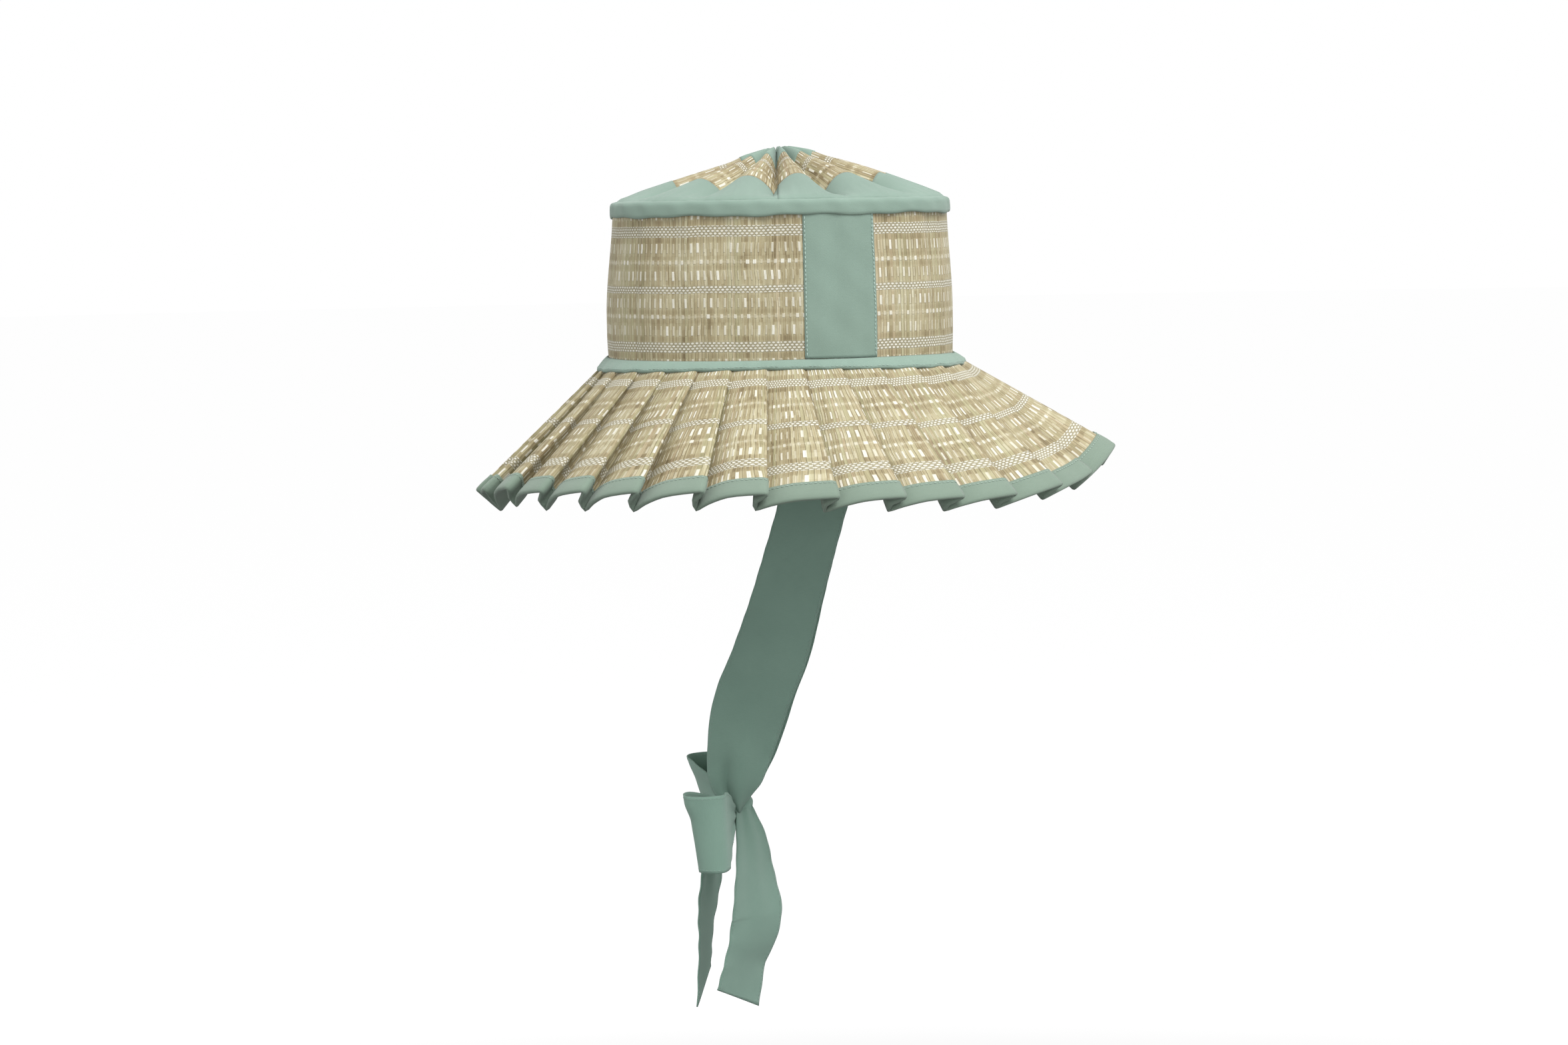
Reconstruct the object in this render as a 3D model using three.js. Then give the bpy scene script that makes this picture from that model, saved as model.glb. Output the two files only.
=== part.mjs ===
import * as THREE from "three";

// A pleated woven-straw sun hat with cotton trims and a wide chin ribbon tied in a bow.
// Millimetres, +Z up. The hat faces -Y and the wearer's left is +X.
// The origin is the centre of the head opening, in the plane of the crown's lower edge.

// Crown
const crownWidth = 162;
const crownLength = 195;
const crownSquareness = 2.4;
const crownWallHeight = 90;
const creaseDepth = 1.2;
const creaseHalfWidth = 4.5;

// Walls and the gaps that neighbouring pieces keep
const matThickness = 1.8;
const clothThickness = 1.2;
const topThickness = 2;
const clearance = 0.3;

// Crown top
const topRise = 29.5;
const topRoundness = 1.45;
const topPleatCount = 13;
const topPleatDepth = 11;
const topPleatPhase = 0.35;
const gatherReach = 0.21;
const hemReach = 0.64;

// Bands and side panels
const topBandHeight = 6.8;
const topBandThickness = 1.7;
const baseBandWidth = 3;
const baseBandFlare = 3;
const sidePanelWidth = 40;
const sidePanelCentre = 33;

// Brim
const brimMatSlant = 86;
const bindingWidth = 12;
const bindingThickness = 2.6;
const brimRootHeight = 1.6;
const brimRootOffset = 1.6;
const brimPleatCount = 30;
const brimPleatPhase = -0.2;
const brimPleatDrift = -0.2;
const brimRootPleat = 0.7;
const brimEdgePleat = 6.4;
const frontPleatExtra = 1.4;
const brimDroop = 44;
const fanEvenness = 0.5;

// Chin ribbon
const ribbonWidth = 43.5;
const strapDrop = 246;
const strapSweep = 64;
const strapTopHeight = 11;
const knotWidth = 20;
const knotDepth = 21;
const knotHeight = 22;
const loopReach = 52;
const loopDepth = 21;
const leftLoopForward = 14;
const rightLoopForward = 19;
const rightLoopRise = 6;
const tailLength = 104;
const tailCut = 7;

const roundSegments = 72;
const degrees = Math.PI / 180;
const halfWidth = crownWidth / 2;
const halfLength = crownLength / 2;
const brimSlant = brimMatSlant + clearance + bindingWidth;

const straw = new THREE.MeshStandardMaterial({ color: 0xc2ab82, roughness: 0.75, metalness: 0 });
const cotton = new THREE.MeshStandardMaterial({ color: 0x8fae9e, roughness: 0.9, metalness: 0 });
const ribbonCotton = new THREE.MeshStandardMaterial({ color: 0x71937f, roughness: 0.9, metalness: 0 });

const hat = new THREE.Group();

function addPiece(name, geometry, material) {
  const mesh = new THREE.Mesh(geometry, material);
  mesh.name = name;
  hat.add(mesh);
}

// The crown's outline is a superellipse, seen from above.
function ovalPoint(angle) {
  const acrossShare = Math.abs(Math.cos(angle) / halfWidth) ** crownSquareness;
  const alongShare = Math.abs(Math.sin(angle) / halfLength) ** crownSquareness;
  const radius = (acrossShare + alongShare) ** (-1 / crownSquareness);
  return new THREE.Vector2(radius * Math.cos(angle), radius * Math.sin(angle));
}

function ovalNormal(point) {
  const power = crownSquareness - 1;
  const x = Math.sign(point.x) * Math.abs(point.x / halfWidth) ** power / halfWidth;
  const y = Math.sign(point.y) * Math.abs(point.y / halfLength) ** power / halfLength;
  return new THREE.Vector2(x, y).normalize();
}

// Lengths along the outline, so that pleats and columns are spaced evenly along it.
const outlineSamples = 720;
const outlineLengths = [0];
for (let i = 1; i <= outlineSamples; i += 1) {
  const from = ovalPoint(((i - 1) / outlineSamples) * 2 * Math.PI);
  const to = ovalPoint((i / outlineSamples) * 2 * Math.PI);
  outlineLengths.push(outlineLengths[i - 1] + from.distanceTo(to));
}
const outlineLength = outlineLengths[outlineSamples];

function outlineAngle(share) {
  const turns = Math.floor(share);
  const target = (share - turns) * outlineLength;
  let next = 1;
  while (next < outlineSamples && outlineLengths[next] < target) {
    next += 1;
  }
  const step = outlineLengths[next] - outlineLengths[next - 1];
  const within = (target - outlineLengths[next - 1]) / step;
  return ((next - 1 + within) / outlineSamples + turns) * 2 * Math.PI;
}

// share runs once round from +X towards +Y; offset is along the outline's normal.
function outlineAt(share, offset) {
  const point = ovalPoint(outlineAngle(share));
  return point.addScaledVector(ovalNormal(point), offset);
}

// The share of the outline at a given Y on the wearer's left.
function shareAtLength(y) {
  let low = -0.25;
  let high = 0.25;
  for (let i = 0; i < 40; i += 1) {
    const middle = (low + high) / 2;
    if (ovalPoint(outlineAngle(middle)).y < y) {
      low = middle;
    } else {
      high = middle;
    }
  }
  return low;
}

// A closed wall between a front and a back grid of points, rows by columns.
// It closes round its columns where wraps is true, and to a point where tips are given.
function wall(front, back, wraps, tips) {
  const rows = front.length;
  const columns = front[0].length;
  const points = [...front.flat(), ...back.flat()];
  const faces = [];
  const backStart = rows * columns;
  const lastColumn = wraps ? columns : columns - 1;
  const quad = (a, b, c, d) => faces.push([a, b, c], [a, c, d]);
  for (let i = 0; i < rows - 1; i += 1) {
    for (let j = 0; j < lastColumn; j += 1) {
      const here = i * columns + j;
      const beside = i * columns + ((j + 1) % columns);
      quad(here, beside, beside + columns, here + columns);
      quad(backStart + here + columns, backStart + beside + columns, backStart + beside, backStart + here);
    }
  }
  const lastRow = (rows - 1) * columns;
  for (let j = 0; j < lastColumn; j += 1) {
    const beside = (j + 1) % columns;
    quad(backStart + j, backStart + beside, beside, j);
    if (tips) {
      faces.push([lastRow + j, lastRow + beside, points.length]);
      faces.push([backStart + lastRow + beside, backStart + lastRow + j, points.length + 1]);
    } else {
      quad(lastRow + j, lastRow + beside, backStart + lastRow + beside, backStart + lastRow + j);
    }
  }
  if (tips) {
    points.push(...tips);
  }
  if (!wraps) {
    for (let i = 0; i < rows - 1; i += 1) {
      const left = i * columns;
      const right = left + columns - 1;
      quad(left, left + columns, backStart + left + columns, backStart + left);
      quad(backStart + right, backStart + right + columns, right + columns, right);
    }
  }
  return closedGeometry(points, faces);
}

// The faces are turned outwards by the sign of the volume that they enclose.
function closedGeometry(points, faces) {
  const volume = faces.reduce((sum, [a, b, c]) => {
    const cross = new THREE.Vector3().crossVectors(points[b], points[c]);
    return sum + points[a].dot(cross);
  }, 0);
  const turned = volume < 0 ? faces.map(([a, b, c]) => [a, c, b]) : faces;
  const geometry = new THREE.BufferGeometry();
  const flat = points.flatMap((point) => [point.x, point.y, point.z]);
  geometry.setAttribute("position", new THREE.Float32BufferAttribute(flat, 3));
  geometry.setIndex(turned.flat());
  geometry.computeVertexNormals();
  return geometry;
}

function ringShares(count, phase) {
  return Array.from({ length: count }, (_, i) => (i + phase) / count);
}

// Crown wall: the mat runs once round, with soft upright creases where it was folded.
const creases = [
  { alongShare: -0.82, depthShare: 1 },
  { alongShare: -0.08, depthShare: 0.6 },
  { alongShare: 0.87, depthShare: 0.9 },
];
const creaseRows = [
  { heightShare: 0, depthShare: 0 },
  { heightShare: 0.14, depthShare: 0.8 },
  { heightShare: 0.55, depthShare: 1 },
  { heightShare: 1, depthShare: 0 },
];

function creaseAt(y) {
  return creases.reduce((depth, crease) => {
    const away = (y - crease.alongShare * halfLength) / creaseHalfWidth;
    return depth + creaseDepth * crease.depthShare * Math.exp(-away * away);
  }, 0);
}

function crownSurface(offset) {
  return creaseRows.map((row) =>
    ringShares(roundSegments, 0).map((share) => {
      const plain = outlineAt(share, 0);
      const dent = creaseAt(plain.y) * row.depthShare;
      const point = outlineAt(share, offset - dent);
      return new THREE.Vector3(point.x, point.y, row.heightShare * crownWallHeight);
    })
  );
}

function addCrownSide() {
  addPiece("crown_side", wall(crownSurface(0), crownSurface(-matThickness), true), straw);
}

// Crown top: a low pleated cone. Each pleat has a round crest and a sharp valley.
const topPleatRows = [
  { reach: 1, depthShare: 0 },
  { reach: 0.95, depthShare: 0.02 },
  { reach: 0.8, depthShare: 0.62 },
  { reach: 0.64, depthShare: 1 },
  { reach: 0.42, depthShare: 1 },
  { reach: 0.21, depthShare: 0.75 },
  { reach: 0, depthShare: 0 },
];
const topColumnsPerPleat = 4;

function topPleatDepthAt(reach) {
  for (let i = 1; i < topPleatRows.length; i += 1) {
    const outer = topPleatRows[i - 1];
    const inner = topPleatRows[i];
    if (reach >= inner.reach) {
      const within = (outer.reach - reach) / (outer.reach - inner.reach);
      return topPleatDepth * THREE.MathUtils.lerp(outer.depthShare, inner.depthShare, within);
    }
  }
  return 0;
}

function topPoint(share, reach, lift) {
  const edge = outlineAt(share, 0);
  const crest = Math.abs(Math.cos(Math.PI * (topPleatCount * share + topPleatPhase)));
  const sink = topPleatDepthAt(reach) * (1 - crest);
  const height = crownWallHeight + clearance + topThickness + topRise * (1 - reach ** topRoundness) - sink;
  return new THREE.Vector3(edge.x * reach, edge.y * reach, height + lift);
}

function topSurface(reaches, lift) {
  const shares = ringShares(topPleatCount * topColumnsPerPleat, 0);
  const firstValley = (0.5 - topPleatPhase) / topPleatCount;
  return reaches.map((reach) => shares.map((share) => topPoint(share + firstValley, reach, lift)));
}

function addTopRing(name, reaches, material) {
  addPiece(name, wall(topSurface(reaches, 0), topSurface(reaches, -topThickness), true), material);
}

function addCrownTop() {
  const seam = clearance / halfWidth;
  addTopRing("crown_top_hem", [1, 0.95, 0.8, hemReach + seam], cotton);
  addTopRing("crown_top_straw", [hemReach, 0.42, gatherReach + seam], straw);
  const gatherReaches = [gatherReach, gatherReach / 2];
  const tips = [topPoint(0, 0, 0), topPoint(0, 0, -topThickness)];
  const front = topSurface(gatherReaches, 0);
  const back = topSurface(gatherReaches, -topThickness);
  addPiece("crown_top_gather", wall(front, back, true, tips), cotton);
}

// Brim: knife pleats on a cone. Its droop and reach change from the front (-90) to the back (90).
const brimShape = [
  { towardsBack: -90, droopShare: 1.02, reachShare: 1.01 },
  { towardsBack: -60, droopShare: 0.965, reachShare: 1 },
  { towardsBack: -15, droopShare: 0.94, reachShare: 1 },
  { towardsBack: 12, droopShare: 1, reachShare: 1 },
  { towardsBack: 50, droopShare: 1.07, reachShare: 1 },
  { towardsBack: 68, droopShare: 0.99, reachShare: 1.01 },
  { towardsBack: 90, droopShare: 0.71, reachShare: 1.04 },
];

function brimShapeAt(angle) {
  const towardsBack = Math.asin(Math.sin(angle)) / degrees;
  let next = 1;
  while (next < brimShape.length - 1 && brimShape[next].towardsBack < towardsBack) {
    next += 1;
  }
  const from = brimShape[next - 1];
  const to = brimShape[next];
  const within = (towardsBack - from.towardsBack) / (to.towardsBack - from.towardsBack);
  const eased = THREE.MathUtils.smoothstep(within, 0, 1);
  return {
    droop: brimDroop * THREE.MathUtils.lerp(from.droopShare, to.droopShare, eased) * degrees,
    reach: THREE.MathUtils.lerp(from.reachShare, to.reachShare, eased),
  };
}

// The pleats fan out a little more evenly than the outline's own normals do.
function fanDirection(angle) {
  const stretch = (halfWidth / halfLength) ** fanEvenness;
  return new THREE.Vector2(Math.cos(angle), Math.sin(angle) * stretch).normalize();
}

// along is measured down the slope from the crown, lift straight out of the slope.
function brimPoint(share, along, lift) {
  const angle = outlineAngle(share);
  const { droop, reach } = brimShapeAt(angle);
  const root = outlineAt(share, brimRootOffset);
  const outwards = along * reach * Math.cos(droop) + lift * Math.sin(droop);
  const place = root.addScaledVector(fanDirection(angle), outwards);
  const height = brimRootHeight - along * reach * Math.sin(droop) + lift * Math.cos(droop);
  return new THREE.Vector3(place.x, place.y, height);
}

function brimPleatHeight(share, along) {
  const edge = brimEdgePleat - frontPleatExtra * Math.sin(outlineAngle(share));
  return THREE.MathUtils.lerp(brimRootPleat, edge, along / brimSlant);
}

// One pleat from valley to valley: a rounded rise and then a steep return.
const pleatProfile = [
  { across: 0, height: -1 },
  { across: 0.44, height: 0.25 },
  { across: 0.82, height: 1 },
  { across: 0.93, height: 0.75 },
];

// The pleats are not spaced quite evenly: they drift a little round the crown.
function pleatShare(pleat) {
  const even = (pleat + brimPleatPhase) / brimPleatCount;
  return even + (brimPleatDrift / brimPleatCount) * Math.cos(4 * Math.PI * even);
}

function pleatMiddle(along) {
  const line = [];
  for (let pleat = 0; pleat < brimPleatCount; pleat += 1) {
    for (const corner of pleatProfile) {
      const share = pleatShare(pleat + corner.across);
      line.push({ share, lift: corner.height * brimPleatHeight(share, along) });
    }
  }
  return line;
}

// The folded line moved sideways by half the wall, mitred at each fold.
function pleatSurface(along, distance) {
  const line = pleatMiddle(along);
  const count = line.length;
  const step = 0.001;
  return line.map((here, i) => {
    const before = line[(i + count - 1) % count];
    const after = line[(i + 1) % count];
    const nearby = brimPoint(here.share + step, along, 0);
    const scale = nearby.distanceTo(brimPoint(here.share, along, 0)) / step;
    const wrapBefore = i === 0 ? 1 : 0;
    const wrapAfter = i === count - 1 ? 1 : 0;
    const inRun = (here.share - before.share + wrapBefore) * scale;
    const outRun = (after.share - here.share + wrapAfter) * scale;
    const into = new THREE.Vector2(inRun, here.lift - before.lift).normalize();
    const outOf = new THREE.Vector2(outRun, after.lift - here.lift).normalize();
    const mitre = new THREE.Vector2(-into.y - outOf.y, into.x + outOf.x).normalize();
    const reach = distance / (mitre.y * into.x - mitre.x * into.y);
    const share = here.share + (mitre.x * reach) / scale;
    return brimPoint(share, along, here.lift + mitre.y * reach);
  });
}

function addPleated(name, alongs, thickness, material) {
  const front = alongs.map((along) => pleatSurface(along, thickness / 2));
  const back = alongs.map((along) => pleatSurface(along, -thickness / 2));
  addPiece(name, wall(front, back, true), material);
}

function addBrim() {
  addPleated("brim", [0, brimMatSlant / 3, (2 * brimMatSlant) / 3, brimMatSlant], matThickness, straw);
  addPleated("brim_binding", [brimMatSlant + clearance, brimSlant], bindingThickness, cotton);
}

// The base band lies on the pleats' crests and covers their inner ends.
function baseBandLift(share) {
  return brimPleatHeight(share, baseBandWidth) + 0.55 * matThickness + clearance;
}

function baseBandInnerRow(lift) {
  return ringShares(roundSegments, 0).map((share) => {
    const { droop, reach } = brimShapeAt(outlineAngle(share));
    const level = baseBandLift(share) + lift;
    const toWall = brimRootOffset - clearance + level * Math.sin(droop);
    return brimPoint(share, -toWall / (Math.cos(droop) * reach), level);
  });
}

function baseBandOuterRow(lift) {
  return ringShares(roundSegments, 0).map((share) => {
    const width = baseBandWidth + baseBandFlare * Math.sin(outlineAngle(share)) ** 2;
    return brimPoint(share, width, baseBandLift(share) + lift);
  });
}

function addBaseBand() {
  const front = [baseBandInnerRow(clothThickness), baseBandOuterRow(clothThickness)];
  const back = [baseBandInnerRow(0), baseBandOuterRow(0)];
  addPiece("base_band", wall(front, back, true), cotton);
}

// The top band folds over the corner between the crown's side and its top.
function topBandRow(offset, height) {
  return ringShares(roundSegments, 0).map((share) => {
    const point = outlineAt(share, offset);
    return new THREE.Vector3(point.x, point.y, height);
  });
}

function addTopBand() {
  const top = crownWallHeight + clearance + topThickness;
  const bottom = top - topBandHeight;
  const outer = clearance + topBandThickness;
  const front = [topBandRow(outer, bottom), topBandRow(outer, top)];
  const back = [topBandRow(clearance, bottom), topBandRow(clearance, top)];
  addPiece("top_band", wall(front, back, true), cotton);
}

// A mirrored piece is built again from mirrored points, so that its faces stay outwards.
function mirrored(rows, side) {
  return rows.map((row) => row.map((point) => new THREE.Vector3(point.x * side, point.y, point.z)));
}

function addSidePanels() {
  const middle = shareAtLength(sidePanelCentre);
  const halfShare = sidePanelWidth / 2 / outlineLength;
  const columns = 7;
  const bandTop = crownWallHeight + clearance + topThickness - topBandHeight;
  const surface = (offset) => {
    const heights = [panelBottom(middle), bandTop - clearance];
    return heights.map((height) =>
      Array.from({ length: columns }, (_, j) => {
        const share = middle + halfShare * ((2 * j) / (columns - 1) - 1);
        const point = outlineAt(share, offset);
        return new THREE.Vector3(point.x, point.y, height);
      })
    );
  };
  const front = surface(clearance + clothThickness);
  const back = surface(clearance);
  addPiece("side_panel_left", wall(mirrored(front, 1), mirrored(back, 1), false), cotton);
  addPiece("side_panel_right", wall(mirrored(front, -1), mirrored(back, -1), false), cotton);
}

// The panel stands just above the base band's upper edge.
function panelBottom(share) {
  const { droop } = brimShapeAt(outlineAngle(share));
  const level = baseBandLift(share) + clothThickness;
  const back = brimRootOffset - clearance + level * Math.sin(droop);
  return brimRootHeight + back * Math.tan(droop) + level * Math.cos(droop) + clearance;
}

// Ribbon: each row has a centre, a direction across, a facing and a slight curl across.
const ribbonColumns = 5;

function ribbonRow(row, lift) {
  return Array.from({ length: ribbonColumns }, (_, j) => {
    const side = (2 * j) / (ribbonColumns - 1) - 1;
    const curl = row.curl * (1 - side * side);
    return row.centre
      .clone()
      .addScaledVector(row.across, (side * row.width) / 2)
      .addScaledVector(row.facing, curl + lift);
  });
}

function addRibbon(name, rows, side) {
  const front = mirrored(rows.map((row) => ribbonRow(row, clothThickness / 2)), side);
  const back = mirrored(rows.map((row) => ribbonRow(row, -clothThickness / 2)), side);
  addPiece(name, wall(front, back, false), ribbonCotton);
}

// The direction across is turned about the ribbon's own run by the row's turn.
function turnedRow(centre, run, turn, width, curl) {
  const sideways = new THREE.Vector3(Math.cos(turn * degrees), Math.sin(turn * degrees), 0);
  const across = new THREE.Vector3().crossVectors(sideways, run).normalize();
  const facing = new THREE.Vector3().crossVectors(run, across).normalize();
  return { centre, across, facing, width, curl };
}

// Straps: sewn inside the crown behind the side panels, they lean in to the knot.
const strapTable = [
  { down: 0.06, lean: 0.035, sweep: 0.03, width: 1, turn: 13, curl: 0.03 },
  { down: 0.16, lean: 0.125, sweep: 0.12, width: 1, turn: 23, curl: 0 },
  { down: 0.31, lean: 0.275, sweep: 0.25, width: 1, turn: 30, curl: 0 },
  { down: 0.48, lean: 0.46, sweep: 0.45, width: 1, turn: 26, curl: 0 },
  { down: 0.65, lean: 0.645, sweep: 0.67, width: 1, turn: 15, curl: 0.02 },
  { down: 0.8, lean: 0.79, sweep: 0.85, width: 0.98, turn: 8, curl: 0.05 },
  { down: 0.89, lean: 0.865, sweep: 0.93, width: 0.9, turn: 0, curl: 0.1 },
  { down: 0.95, lean: 0.91, sweep: 0.97, width: 0.74, turn: 0, curl: 0.12 },
  { down: 1, lean: 0.955, sweep: 0.99, width: 0.3, turn: 0, curl: 0.04 },
];

function addStraps() {
  const share = shareAtLength(sidePanelCentre);
  const inset = matThickness + clearance + clothThickness / 2;
  const halfShare = ribbonWidth / 2 / outlineLength;
  const near = outlineAt(share - halfShare, -inset);
  const far = outlineAt(share + halfShare, -inset);
  const middle = outlineAt(share, -inset);
  const across = new THREE.Vector3(far.x - near.x, far.y - near.y, 0).normalize();
  const facing = new THREE.Vector3(across.y, -across.x, 0);
  const chord = new THREE.Vector3((near.x + far.x) / 2, (near.y + far.y) / 2, 0);
  const sewnCurl = facing.x * (middle.x - chord.x) + facing.y * (middle.y - chord.y);
  const sewnRow = (height) => {
    const centre = new THREE.Vector3(chord.x, chord.y, height);
    return { centre, across, facing, width: near.distanceTo(far), curl: sewnCurl };
  };
  const place = (row) =>
    new THREE.Vector3(chord.x * (1 - row.lean), chord.y - row.sweep * strapSweep, -row.down * strapDrop);
  const rows = strapTable.map((row, i) => {
    const before = strapTable[Math.max(i - 1, 0)];
    const after = strapTable[Math.min(i + 1, strapTable.length - 1)];
    const run = new THREE.Vector3().subVectors(place(after), place(before)).normalize();
    return turnedRow(place(row), run, row.turn, row.width * ribbonWidth, row.curl * ribbonWidth);
  });
  const allRows = [sewnRow(strapTopHeight), sewnRow(0), ...rows];
  addRibbon("strap_left", allRows, 1);
  addRibbon("strap_right", allRows, -1);
}

// Knot: a soft rounded block, wrapped once by the ribbon.
const knotCentre = new THREE.Vector3(0, sidePanelCentre - strapSweep, -strapDrop - clearance - knotHeight / 2);

function addKnot() {
  const geometry = new THREE.SphereGeometry(1, 14, 10);
  const place = geometry.getAttribute("position");
  const roundness = 0.7;
  const soften = (value, half) => Math.sign(value) * Math.abs(value) ** roundness * half;
  for (let i = 0; i < place.count; i += 1) {
    const x = soften(place.getX(i), knotWidth / 2);
    const y = soften(place.getY(i), knotDepth / 2);
    const z = soften(place.getZ(i), knotHeight / 2);
    place.setXYZ(i, x, y, z);
  }
  geometry.translate(knotCentre.x, knotCentre.y, knotCentre.z);
  addPiece("bow_knot", geometry, ribbonCotton);
}

// Bow loops: the ribbon runs out sideways from the knot, turns and comes back.
const loopTable = [
  { out: 0, side: -0.16, width: 0.36 },
  { out: 0.3, side: -0.36, width: 0.74 },
  { out: 0.65, side: -0.5, width: 0.98 },
  { out: 0.92, side: -0.44, width: 1 },
  { out: 1, side: -0.2, width: 1 },
  { out: 1, side: 0.2, width: 1 },
  { out: 0.92, side: 0.42, width: 1 },
  { out: 0.65, side: 0.46, width: 0.96 },
  { out: 0.3, side: 0.34, width: 0.72 },
  { out: 0, side: 0.16, width: 0.34 },
];

function addLoop(name, side, forward, rise) {
  const start = knotWidth / 2 + clearance;
  const place = (row) =>
    new THREE.Vector3(
      start + row.out * loopReach,
      knotCentre.y + row.side * loopDepth - row.out * forward,
      knotCentre.z + row.out * rise
    );
  const up = new THREE.Vector3(0, 0, 1);
  const rows = loopTable.map((row, i) => {
    const before = loopTable[Math.max(i - 1, 0)];
    const after = loopTable[Math.min(i + 1, loopTable.length - 1)];
    const run = new THREE.Vector3().subVectors(place(after), place(before)).normalize();
    const facing = new THREE.Vector3().crossVectors(run, up).normalize();
    return { centre: place(row), across: up, facing, width: row.width * ribbonWidth, curl: 0 };
  });
  addRibbon(name, rows, side);
}

// Tails: the free ends hang from under the knot, turned and slightly twisted.
const leftTailTable = [
  { down: 0, sway: 0.08, spread: 0.04, width: 0.22, turn: 47 },
  { down: 0.13, sway: 0.22, spread: 0.12, width: 0.62, turn: 54 },
  { down: 0.34, sway: 0.26, spread: 0.16, width: 0.95, turn: 56 },
  { down: 0.48, sway: 0.28, spread: 0.17, width: 1, turn: 51 },
  { down: 0.6, sway: 0.24, spread: 0.17, width: 1, turn: 52 },
  { down: 0.7, sway: 0.18, spread: 0.16, width: 1, turn: 56 },
  { down: 0.83, sway: 0.09, spread: 0.16, width: 1, turn: 56 },
  { down: 0.94, sway: 0, spread: 0.15, width: 1, turn: 56 },
];
const rightTailTable = [
  { down: 0, sway: -0.07, spread: -0.05, width: 0.2, turn: 40 },
  { down: 0.18, sway: -0.26, spread: -0.2, width: 0.6, turn: 60 },
  { down: 0.34, sway: -0.33, spread: -0.3, width: 0.9, turn: 72 },
  { down: 0.52, sway: -0.38, spread: -0.34, width: 1, turn: 79 },
  { down: 0.75, sway: -0.42, spread: -0.36, width: 1, turn: 81 },
  { down: 0.93, sway: -0.45, spread: -0.36, width: 1, turn: 79 },
];

function addTail(name, table, cutSlant) {
  const top = knotCentre.z - knotHeight / 2 - clearance;
  const place = (row) =>
    new THREE.Vector3(
      row.spread * ribbonWidth,
      knotCentre.y + row.sway * ribbonWidth,
      top - row.down * tailLength
    );
  const rows = table.map((row, i) => {
    const before = table[Math.max(i - 1, 0)];
    const after = table[Math.min(i + 1, table.length - 1)];
    const run = new THREE.Vector3().subVectors(place(after), place(before)).normalize();
    return turnedRow(place(row), run, row.turn, row.width * ribbonWidth, 0);
  });
  const front = rows.map((row) => ribbonRow(row, clothThickness / 2));
  const back = rows.map((row) => ribbonRow(row, -clothThickness / 2));
  for (const surface of [front, back]) {
    surface[surface.length - 1].forEach((point, j) => {
      const side = (2 * j) / (ribbonColumns - 1) - 1;
      point.z += side * cutSlant;
    });
  }
  addPiece(name, wall(front, back, false), ribbonCotton);
}

addCrownSide();
addCrownTop();
addTopBand();
addBaseBand();
addSidePanels();
addBrim();
addStraps();
addKnot();
addLoop("bow_loop_left", 1, leftLoopForward, 0);
addLoop("bow_loop_right", -1, rightLoopForward, rightLoopRise);
addTail("bow_tail_left", leftTailTable, -tailCut);
addTail("bow_tail_right", rightTailTable, tailCut);

export default hat;
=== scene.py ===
import functools
import math
import random

import bmesh
import bpy
from mathutils import Matrix, Vector


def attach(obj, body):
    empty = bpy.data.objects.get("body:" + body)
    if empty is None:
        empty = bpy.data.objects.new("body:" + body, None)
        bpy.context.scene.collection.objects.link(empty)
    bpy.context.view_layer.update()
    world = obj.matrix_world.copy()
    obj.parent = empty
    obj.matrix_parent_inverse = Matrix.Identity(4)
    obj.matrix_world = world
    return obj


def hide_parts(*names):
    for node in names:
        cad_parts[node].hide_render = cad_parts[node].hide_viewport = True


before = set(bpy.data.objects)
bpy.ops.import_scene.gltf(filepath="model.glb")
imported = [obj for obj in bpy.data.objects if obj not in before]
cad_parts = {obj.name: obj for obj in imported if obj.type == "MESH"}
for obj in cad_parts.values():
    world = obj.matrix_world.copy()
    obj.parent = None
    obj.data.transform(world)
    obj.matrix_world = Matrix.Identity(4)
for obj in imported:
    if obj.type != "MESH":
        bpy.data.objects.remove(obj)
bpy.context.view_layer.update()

# The hat's driving sizes, in millimetres. It faces -Y, and the wearer's left is +X.
MM = 0.001
CROWN_WIDTH = 162
CROWN_LENGTH = 195
CROWN_SQUARENESS = 2.4
CROWN_HEIGHT = 90
TOP_RISE = 29.5
TOP_ROUNDNESS = 1.45
TOP_PLEATS = 13
TOP_PLEAT_DEPTH = 11
TOP_PLEAT_PHASE = 0.6
GATHER_REACH = 0.21
HEM_REACH = 0.64
BAND_BOTTOM = 85.5
BRIM_MAT_SLANT = 86
BRIM_SLANT = 98.3
BRIM_ROOT = 1.6
BRIM_PLEATS = 30
BRIM_PHASE = -0.2
BRIM_DRIFT = -0.2
BRIM_DROOP = 44
RIBBON = 43.5
KNOT = Vector((0, -31, -257.3))
LOOP_REACH = 52
PANEL_WIDTH = 40
PANEL_CENTRE = 33

HALF_WIDTH = CROWN_WIDTH / 2
HALF_LENGTH = CROWN_LENGTH / 2
rng = random.Random(7)


def lerp(a, b, t):
    return a + (b - a) * t


def ease(t):
    t = min(max(t, 0.0), 1.0)
    return t * t * (3 - 2 * t)


# The crown's outline and the slopes that grow from it

def oval_point(angle):
    across = abs(math.cos(angle) / HALF_WIDTH) ** CROWN_SQUARENESS
    along = abs(math.sin(angle) / HALF_LENGTH) ** CROWN_SQUARENESS
    radius = (across + along) ** (-1 / CROWN_SQUARENESS)
    return Vector((radius * math.cos(angle), radius * math.sin(angle)))


def oval_normal(point):
    power = CROWN_SQUARENESS - 1
    x = math.copysign(abs(point.x / HALF_WIDTH) ** power / HALF_WIDTH, point.x)
    y = math.copysign(abs(point.y / HALF_LENGTH) ** power / HALF_LENGTH, point.y)
    return Vector((x, y)).normalized()


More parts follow.
